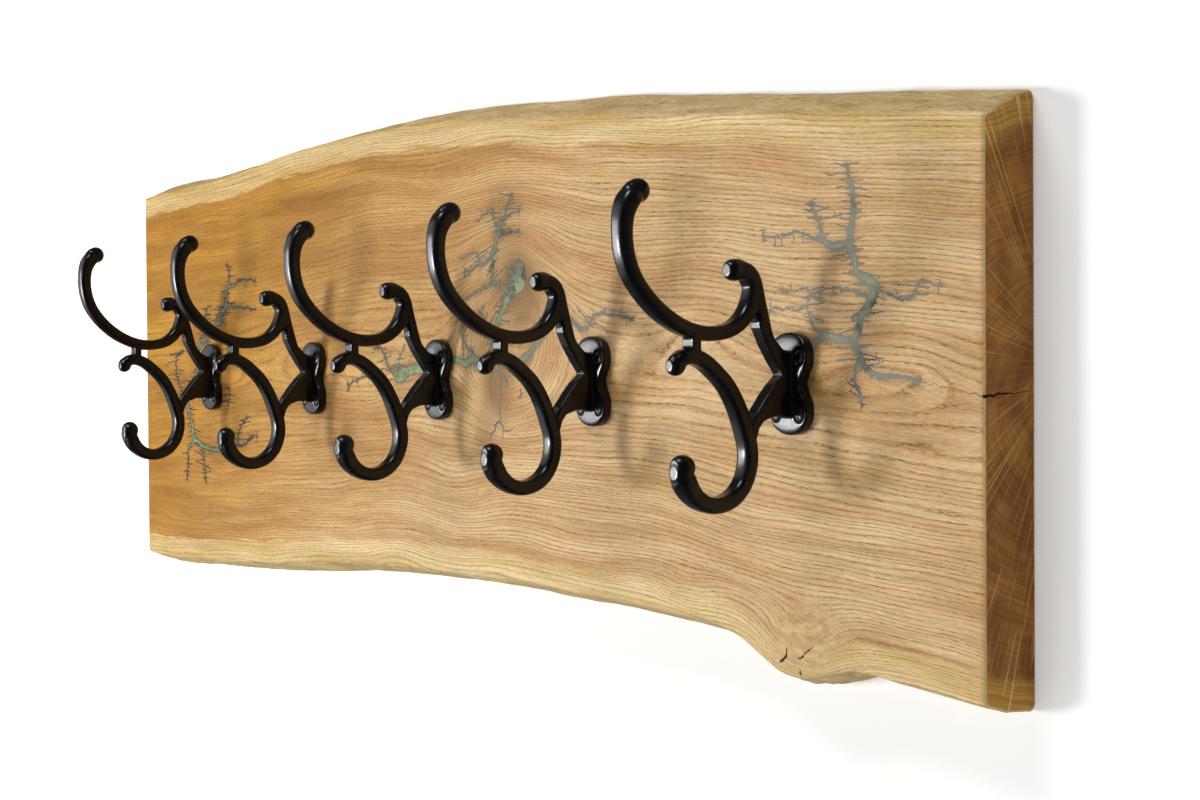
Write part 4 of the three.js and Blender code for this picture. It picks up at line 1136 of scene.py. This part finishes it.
def crack_mesh():
    """Resin in the drying crack: a wavering wedge that deepens towards the right end and
    runs out to a hair at the back."""
    end = HALF_LENGTH - END_GAP + 0.06
    x = np.linspace(end - CRACK_LENGTH, end, 48)
    share = ((x - x[0]) / CRACK_LENGTH)[:, None]
    reach_in = CRACK_LEAST_DEPTH + (CRACK_DEPTH - CRACK_LEAST_DEPTH) * share
    y = FRONT - 0.05 + np.minimum(reach_in * CRACK_STEPS, BOARD_THICKNESS - 2.5)
    x = x[:, None]
    half = (0.2 + 0.5 * share**9) * np.clip(1.08 - CRACK_STEPS, 0.1, 1) ** 0.7
    half = half * (1 + 0.3 * ripple(31, 5, x, 1.4 * y))
    middle = -7.2 - 6.6 * share + 0.7 * ripple(32, 9, x, 2 * y) + 0.05 * (y - FRONT)
    upper, lower = [np.stack([0 * y + x, y, z], -1) for z in (middle + half, middle - half)]
    rings = np.concatenate([upper, lower[:, ::-1], upper[:, :1]], 1)
    rows, count = rings.shape[:2]
    faces = grid_faces(rows, count) + [list(range(count - 1))]
    faces.append([(rows - 1) * count + i for i in reversed(range(count - 1))])
    mesh = mesh_of("crack", rings.reshape(-1, 3), faces, materials=[DARK_RESIN])
    close_up(mesh, merge=0.001, sharp=50)
    return mesh


def burl_crack_mesh():
    """Small bark cracks in the burl, seen as dark slivers."""
    rows = np.array([row for crack in BURL_CRACKS for row in crack])
    low, high = rows.min(0) - 3, rows.max(0) + 3
    xs, zs = [np.arange(low[i], high[i], BURL_CRACK_GRID) for i in (0, 1)]
    smooth = [rows_along(crack, 1.0) for crack in BURL_CRACKS]
    sheet = cut_sheet(xs, zs, branch_field(xs, zs, smooth, 51, 0.35))
    return inlay_mesh("burl_cracks", sheet, 0.02, 1.0, DARK_RESIN)


add_piece("crack_resin", crack_mesh(), "dark_resin", "crack_fill")
add_piece("burl_cracks", burl_crack_mesh(), "oak_board")


# Geometry trees

def round_of(count):
    """Numbers of the two ends of each side of a closed loop."""
    return [(i, (i + 1) % count) for i in range(count)]


def stack_faces(count, loops=2):
    """Faces of a closed solid through so many loops of points, one after another."""
    last = count * (loops - 1)
    faces = [[k + i, k + j, k + count + j, k + count + i]
             for k in range(0, last, count) for i, j in round_of(count)]
    return faces + [list(range(count))[::-1], list(range(last, last + count))]


class Build:
    """A geometry tree with named sizes, which shapes a piece's pattern."""

    def __init__(self, name, sizes):
        self.keys = {}
        self.tree = bpy.data.node_groups.new(name, "GeometryNodeTree")
        new_socket = self.tree.interface.new_socket
        for way in ("INPUT", "OUTPUT"):
            new_socket("Shape", in_out=way, socket_type="NodeSocketGeometry")
        for size, value in sizes.items():
            socket = new_socket(size, in_out="INPUT", socket_type="NodeSocketFloat")
            socket.default_value = value
            self.keys[size] = socket.identifier
        self.sizes = sizes
        self.entry = self.tree.nodes.new("NodeGroupInput").outputs

    def given(self, name):
        return Flow(self.tree, self.entry[name])

    def add(self, kind, inputs=None, **settings):
        return add_node(self.tree, "GeometryNode" + kind, inputs or {}, **settings)

    def end(self, shape, material):
        """Makes instances real, gives the shape its material and hands it out."""
        real = self.add("RealizeInstances", {0: shape})
        shown = self.add("SetMaterial", {"Geometry": real, "Material": material})
        add_node(self.tree, "NodeGroupOutput", {0: shown})
        return self

    def put_on(self, piece, **changed):
        """Puts the tree on the piece and sets its named sizes."""
        built = piece.modifiers.new(self.tree.name, "NODES")
        built.node_group = self.tree
        for size, key in self.keys.items():
            built[key] = float(changed.get(size, self.sizes[size]))


def made_real(piece, name):
    """The piece with its modifiers worked in, as a plain mesh; the piece goes."""
    bpy.context.view_layer.update()
    seen = piece.evaluated_get(bpy.context.evaluated_depsgraph_get())
    mesh = bpy.data.meshes.new_from_object(seen)
    mesh.name = name
    bpy.data.objects.remove(piece)
    return mesh


# Hooks

def plate_outline(inset):
    """The hook plate's outline: two superellipse lobes that meet at a waist."""
    lobe_rise = PLATE_HEIGHT / 2 - LOBE_HALF_HEIGHT
    power = 2 / LOBE_FULLNESS
    turn = np.radians(np.linspace(LOBE_START, 90, 18))
    across = np.abs(np.cos(turn)) ** power * (LOBE_HALF_WIDTH - inset)
    rise = np.sign(turn) * np.abs(np.sin(turn)) ** power * (LOBE_HALF_HEIGHT - inset)
    quarter = np.column_stack([across, lobe_rise + rise])
    quarter = np.concatenate([[[WAIST_HALF_WIDTH - inset, 0]], quarter])
    upper = np.concatenate([quarter, quarter[1:-1][::-1] * [-1, 1]])
    return np.concatenate([upper, -upper])


def outwards(rows, x=0):
    """Points of a side view's (out from the plate, up) rows."""
    return [(x, -PLATE_THICKNESS - row[0], row[1]) for row in rows]


def casting_pattern():
    """Everything one hook is cast from: the plate, the web, the post, and the centre
    lines and balls of its arms. Each point keeps which of them it belongs to."""
    parts = Parts()
    loops = [standing(plate_outline(inset), -out) for inset, out in PLATE_STEPS]
    plate = np.concatenate(loops)
    # The lobes thin towards their ends
    lobe_end = np.clip((np.abs(plate[:, 2]) - 15) / 10, 0, 1)
    plate[:, 1] += 0.7 * lobe_end**1.5 * np.clip(-plate[:, 1] - 3, 0, 1)
    parts.put(plate, stack_faces(len(loops[0]), len(loops)), kind=PLATE)
    out, half, low, high = POST
    post = [(out - half, low), (out - half, high), (out + half, high), (out + half, low)]
    for outline, width in ((WEB_OUTLINE, WEB_THICKNESS), (post, POST_THICKNESS)):
        solid = outwards(outline, -width / 2) + outwards(outline, width / 2)
        parts.put(solid, stack_faces(len(outline)), kind=WEB)
    for path in (CUP_PATH, STEM_PATH, LOOP_PATH):
        line = spaced_path(path, ARM_STEP)
        for _ in range(5):
            line[1:-1] = (line[:-2] + 2 * line[1:-1] + line[2:]) / 4
        chain = [(i, i + 1) for i in range(len(line) - 1)]
        parts.put(outwards(line), edges=chain, kind=ARM, reach=line[:, 2] / ARM_HALF_DEPTH)
    parts.put(outwards(ARM_BALLS), kind=BALL, reach=[ball[2] for ball in ARM_BALLS])
    parts.put([(x, -PLATE_THICKNESS, z) for x, z in HOOK_SCREW_PLACES.values()], kind=DISH)
    mesh = parts.mesh("casting_pattern")
    store(mesh, "kind", parts.kinds)
    store(mesh, "reach", parts.reaches)
    close_up(mesh)
    return mesh


def hook_build():
    """Sweeps the arms along their centre lines, sets the balls and cuts the screw dishes."""
    hook = Build("cast hook", {
        "Arm half width": ARM_HALF_WIDTH * MM, "Arm half depth": ARM_HALF_DEPTH * MM,
        "Arm squareness": ARM_SQUARENESS, "Tip flatness": TIP_FLATNESS,
        "Dish radius": SCREW_DISH * MM, "Dish depth": DISH_DEPTH * MM,
    })
    kind, reach = [hook.add("InputNamedAttribute", {"Name": name}, data_type="FLOAT")
                   for name in ("kind", "reach")]

    def only(number):
        """The part of the pattern that has this kind."""
        inputs = {0: kind, 1: float(number), "Epsilon": 0.4}
        equal = {"data_type": "FLOAT", "operation": "EQUAL"}
        same = add_node(hook.tree, "FunctionNodeCompare", inputs, **equal)
        return hook.add("SeparateGeometry", {0: hook.given("Shape"), 1: same})

    x, y, z = hook.add("InputPosition").parts()
    power = 2.0 / hook.given("Arm squareness")
    section = vector(*[
        share.maths("ABSOLUTE").maths("POWER", power) * share.maths("SIGN") * hook.given(half)
        for share, half in ((x, "Arm half width"), (y, "Arm half depth"))
    ])
    ring = hook.add("CurvePrimitiveCircle", {"Resolution": 40, "Radius": 1.0})
    ring = hook.add("SetPosition", {0: ring, "Position": section})
    line = hook.add("MeshToCurve", {0: only(ARM)})
    swept = {"Curve": line, "Profile Curve": ring, "Scale": reach, "Fill Caps": True}
    arms = hook.add("CurveToMesh", swept)
    ball = hook.add("MeshUVSphere", {"Segments": 32, "Rings": 20, "Radius": MM})
    land = vector(x, y.maths("MAXIMUM", hook.given("Tip flatness") * -MM), z)
    ball = hook.add("SetPosition", {0: ball, "Position": land})
    balls = hook.add("InstanceOnPoints", {"Points": only(BALL), "Instance": ball, "Scale": reach})
    across = {"Radius": hook.given("Dish radius"), "Depth": hook.given("Dish depth")}
    drill = hook.add("MeshCylinder", {"Vertices": 40, **across})
    drill = hook.add("Transform", {"Geometry": drill, "Rotation": (math.pi / 2, 0, 0)})
    drills = hook.add("InstanceOnPoints", {"Points": only(DISH), "Instance": drill})
    drills = hook.add("RealizeInstances", {0: drills})
    drilled = {"Mesh 1": only(PLATE), "Mesh 2": drills}
    plate = hook.add("MeshBoolean", drilled, operation="DIFFERENCE")
    whole = hook.add("JoinGeometry", {0: [plate, only(WEB), arms, balls]})
    return hook.end(whole, IRON)


def cast_hook():
    """One hook at the origin: its parts run together and the corners softened as sand
    casting does."""
    piece = new_object("casting", casting_pattern())
    hook_build().put_on(piece)
    skin = piece.modifiers.new("one skin", "REMESH")
    skin.mode = "VOXEL"
    skin.voxel_size = CASTING_VOXEL * MM
    skin.use_smooth_shade = True
    soften = piece.modifiers.new("softened", "SMOOTH")
    soften.factor = 0.5
    soften.iterations = 8
    mesh = made_real(piece, "hook_casting")
    mesh.materials.clear()
    mesh.materials.append(IRON)
    return mesh


CASTING = cast_hook()
# No two castings are quite alike: the arms wander by some hundredths of a millimetre
for number, hook_x in enumerate(HOOK_XS, 1):
    mesh = CASTING.copy()
    at = points_of(mesh)
    sag = 0.05 * ripple(60 + number, 30, *at.T)
    out = np.clip(-at[:, 1] - PLATE_THICKNESS, 0, 10) / 10
    at = at + np.column_stack([0.5 * out * sag, 0 * sag, out * sag])
    move_points(mesh, at + [hook_x, FRONT, HOOK_ROW_HEIGHT])
    mesh.shade_smooth()
    add_piece("cast_hook_%d" % number, mesh, "black_iron", "hook_%d" % number)


# Screws

def screw_line(head, shank, length, tip, crown):
    """Half outline of a screw, from the middle of its head to its tip."""
    rows = [(0.0001, -crown), (head * 0.5, -crown * 0.86), (head * 0.82, -crown * 0.42),
            (head * 0.97, 0.0), (head, 0.25), (head * 0.97, 0.45),
            (shank * 0.95, head - shank + 0.4)]
    depth = head - shank + 3
    while depth < length - tip:
        rows += [(shank * 0.78, depth), (shank * 0.78, depth + 0.5), (shank, depth + 0.9)]
        depth += THREAD_STEP
    rows += [(shank * 0.7, length - tip), (shank * 0.4, length - tip * 0.4), (0.0001, length)]
    points = [(radius, depth, 0) for radius, depth in rows]
    return mesh_of("screw_line", points, edges=[(i, i + 1) for i in range(len(rows) - 1)])


def screw_build(material):
    """Turns a screw from its half outline and cuts the cross recess into its head."""
    screw = Build("cross-head screw", {**RECESS_SIZE, "Head top": 0.4 * MM, "Turn": 0})
    outline = screw.add("MeshToCurve", {0: screw.given("Shape")})
    axis = screw.add("CurvePrimitiveCircle", {"Resolution": 36, "Radius": 1e-7})
    shape = screw.add("CurveToMesh", {"Curve": axis, "Profile Curve": outline})
    shape = screw.add("MergeByDistance", {0: shape, "Distance": 2e-6})
    size = vector(*[screw.given(name) for name in RECESS_SIZE])
    for quarter in (0, math.pi / 2):
        bar = screw.add("MeshCube", {"Size": size})
        drop = vector(0, 0, screw.given("Head top") + 0.02 * MM * quarter)
        spin = vector(0, 0, screw.given("Turn") + quarter)
        bar = screw.add("Transform", {"Geometry": bar, "Translation": drop, "Rotation": spin})
        shape = screw.add("MeshBoolean", {"Mesh 1": shape, "Mesh 2": bar}, operation="DIFFERENCE")
    return screw.end(shape, material)


def screw_piece(name, node, kind, place):
    """One screw of a kind: its head at the place, its tip the kind's way along Y."""
    sizes, inward, build, slot = kind
    piece = new_object("screw", screw_line(*sizes))
    build.put_on(piece, Turn=chance.uniform(0, 1.5))
    mesh = made_real(piece, name)
    at = points_of(mesh)
    move_points(mesh, np.column_stack([at[:, 0], -inward * at[:, 2], at[:, 1]]) + place)
    close_up(mesh, merge=0.001, sharp=30)
    add_piece(name, mesh, slot, node)


chance = np.random.default_rng(7)
black_screw = (HOOK_SCREW, 1, screw_build(BLACK_STEEL), "black_screw")
zinc_screw = (HANGER_SCREW, -1, screw_build(ZINC_SCREW), "zinc_screw")
for number, hook_x in enumerate(HOOK_XS, 1):
    for corner, (x, z) in HOOK_SCREW_PLACES.items():
        place = (hook_x + x, FRONT - PLATE_THICKNESS + HOOK_SCREW_SINK, HOOK_ROW_HEIGHT + z)
        ends = (number, corner)
        screw_piece("screw_%d_%s" % ends, "hook_%d_screw_%s" % ends, black_screw, place)


# Keyhole plates

def arc(radius, middle, start, end, count):
    """Points of an arc about (0, middle)."""
    turn = np.linspace(start, end, count)
    return np.column_stack([radius * np.cos(turn), middle + radius * np.sin(turn)])


def keyhole_line():
    """The keyhole: a round entry below and a narrow slot above it."""
    meet = math.asin(KEYHOLE_SLOT[0] / KEYHOLE_ENTRY[0])
    entry = arc(*KEYHOLE_ENTRY, math.pi / 2 + meet, 5 * math.pi / 2 - meet, 30)
    return np.concatenate([entry, arc(*KEYHOLE_SLOT, 0, math.pi, 12)])


def plate_build():
    """Fills the outlines, holes left open, and gives the plate its thickness."""
    plate = Build("keyhole plate", {"Thickness": (HANGER_THICKNESS - 0.05) * MM})
    outline = plate.add("MeshToCurve", {0: plate.given("Shape")})
    face = plate.add("FillCurve", {0: outline})
    way = vector(0, 0, plate.given("Thickness"))
    raised = plate.add("ExtrudeMesh", {"Mesh": face, "Offset": way, "Individual": False})
    base = plate.add("FlipFaces", {0: face})
    whole = plate.add("JoinGeometry", {0: [base, raised]})
    return plate.end(plate.add("MergeByDistance", {0: whole, "Distance": 1e-6}), ZINC_PLATE)


def hanger_mesh(name, x):
    """One keyhole plate in its place: its outline, keyhole and two screw holes, edges softened."""
    ring = arc(HANGER_SCREW[0] + FIT_GAP, 0, 0, 2 * math.pi, 29)[:-1]
    loops = [stadium(HANGER_LENGTH, HANGER_WIDTH, 0, 64), keyhole_line(),
             ring + [0, HANGER_SCREW_UP], ring - [0, HANGER_SCREW_UP]]
    lines = Parts()
    for loop in loops:
        lines.put(np.column_stack([loop, 0 * loop[:, 0]]), edges=round_of(len(loop)))
    piece = new_object("plate", lines.mesh("plate_lines"))
    hanger_build.put_on(piece)
    soft = piece.modifiers.new("soft edges", "BEVEL")
    soft.width = 0.3 * MM
    soft.segments = 2
    soft.limit_method = "ANGLE"
    mesh = made_real(piece, name)
    right, up, out = points_of(mesh).T
    move_points(mesh, np.column_stack([right + x, out - HANGER_THICKNESS, up + HANGER_Z]))
    close_up(mesh, merge=0.001, sharp=30)
    return mesh


hanger_build = plate_build()
for side, x in HANGER_XS.items():
    hanger = "hanger_" + side
    node = "keyhole_plate_" + side
    add_piece(hanger, hanger_mesh(hanger, x), "zinc_plate", node)
    for end, z in (("top", HANGER_SCREW_UP), ("bottom", -HANGER_SCREW_UP)):
        place = (x, -HANGER_SCREW_SINK, HANGER_Z + z)
        screw_piece("hanger_screw_%s_%s" % (side, end), node + "_screw_" + end, zinc_screw, place)


# Studio

def card_finish():
    """Plain white card, seen white where nothing shades it, with a glow that only the camera sees,
    painted dark grey where glossy surfaces mirror it, and clear from behind.
    """
    card = Finish("white_card", Roughness=0.9, Specular_IOR_Level=0.1)
    seen, glossy = [card.add("LightPath", out="Is %s Ray" % kind) for kind in ("Camera", "Glossy")]
    behind = card.add("NewGeometry", out="Backfacing")
    # Painted darker reflection: glossy surfaces see the card as dark grey, which keeps the black
    # iron's reflections dark.
    colour = card.blend("f4f4f3", glossy, "5a5a5a")
    card.tree.links.new(colour.socket, card.shader.inputs["Base Color"])
    glow = card.add("Emission", {"Color": (1, 1, 1, 1), "Strength": seen * CARD_GLOW})
    lit = card.add("AddShader", {0: Flow(card.tree, card.shader.outputs[0]), 1: glow})
    both = card.add("MixShader", {0: seen * behind, 1: lit, 2: card.add("BsdfTransparent")})
    card.tree.links.new(both.socket, card.tree.nodes["Material Output"].inputs["Surface"])
    return card.material


def wall_mesh(material):
    """The wall, open behind the slab so that light reaches the slab's back."""
    x = np.linspace(WALL_LAP - HALF_LENGTH, HALF_LENGTH - WALL_LAP, 60)
    top, bottom, top_spread, bottom_spread = edge_lines(x)
    high = np.column_stack([x, top + top_spread - WALL_LAP])
    low = np.column_stack([x, bottom - bottom_spread + WALL_LAP])
    left, right, floor, ceiling = ROOM
    outer = [(left, floor), (right, floor), (right, ceiling), (left, ceiling)]
    wall = bmesh.new()
    loops = []
    for loop in (outer, [*low, *high[::-1]]):
        corners = [wall.verts.new((px * MM, WALL_Y * MM, pz * MM)) for px, pz in loop]
        loops += [wall.edges.new((corners[i - 1], corners[i])) for i in range(len(corners))]
    bmesh.ops.triangle_fill(wall, use_beauty=True, edges=loops)
    for face in wall.faces:
        if face.normal.y > 0:
            face.normal_flip()
    mesh = bpy.data.meshes.new("wall")
    wall.to_mesh(mesh)
    wall.free()
    mesh.materials.append(material)
    return mesh


def floor_mesh(material):
    left, right, floor, _ = ROOM
    near, far = FLOOR_REACH
    corners = [(left, near, floor), (right, near, floor), (right, far, floor), (left, far, floor)]
    return mesh_of("floor", corners, [[0, 1, 2, 3]], materials=[material])


card = card_finish()
wall = new_object("wall", wall_mesh(card))
floor = new_object("floor", floor_mesh(card))


def softbox(name, side, rise, distance, width, height, watts, mirrored=True, lights=True):
    """A soft lamp aimed at the slab's middle. Side turns to the left of the wall's
    normal and rise is above the level, both in degrees. Glossy surfaces mirror it or not,
    and it lights matt surfaces or is only mirrored."""
    light = bpy.data.lights.new(name, "AREA")
    light.shape = "RECTANGLE"
    light.size, light.size_y, light.energy = width, height, watts
    lamp = new_object(name, light)
    a, e = math.radians(side), math.radians(rise)
    back = Vector((-math.sin(a) * math.cos(e), -math.cos(a) * math.cos(e), math.sin(e)))
    lamp.location = Vector((0, -0.03, 0)) + back * distance
    lamp.rotation_euler = (-back).to_track_quat("-Z", "Y").to_euler()
    lamp.visible_glossy = mirrored
    lamp.visible_diffuse = lights


softbox("key", 36.4, -7, 2.6, 0.56, 0.56, 43)
softbox("left_window", 47, -2, 2.2, 0.9, 0.9, 20, lights=False)
softbox("pale_room", 40, 0, 2.0, 3.0, 2.2, 14, lights=False)
softbox("overhead", 0, 57, 2.2, 1.3, 0.6, 25)
softbox("right_fill", -60, -8, 2.2, 1.2, 1.0, 6.5, mirrored=False)
softbox("behind", 200, 30, 2.4, 1.2, 1.0, 45)

world = bpy.data.worlds.new("studio")
bpy.context.scene.world = world
world.use_nodes = True
sky = world.node_tree
sky.nodes.clear()
seen = add_node(sky, "ShaderNodeLightPath", {}, out="Is Camera Ray")
dim, white = [add_node(sky, "ShaderNodeBackground", {"Color": (grey, grey, grey, 1)})
              for grey in (ROOM_LIGHT, 1)]
shown = add_node(sky, "ShaderNodeMixShader", {0: seen, 1: dim, 2: white})
add_node(sky, "ShaderNodeOutputWorld", {0: shown})

# Camera at the photograph's place
yaw, pitch, roll = [math.radians(angle) for angle in CAMERA_TURN]
level = math.cos(pitch)
ahead = Vector((-math.sin(yaw) * level, math.cos(yaw) * level, -math.sin(pitch)))
level_right = Vector((math.cos(yaw), math.sin(yaw), 0))
level_up = level_right.cross(ahead)
right = level_right * math.cos(roll) + level_up * math.sin(roll)
up = level_up * math.cos(roll) - level_right * math.sin(roll)
lens = bpy.data.cameras.new("camera")
lens.sensor_width = 36
lens.lens = CAMERA_LENS
lens.clip_start = 0.01
lens.clip_end = 50
camera = new_object("camera", lens)
turn = Matrix((right, up, -ahead)).transposed().to_4x4()
camera.matrix_world = Matrix.Translation(CAMERA_PLACE) @ turn
bpy.context.scene.camera = camera
bpy.context.scene.view_settings.view_transform = "Standard"
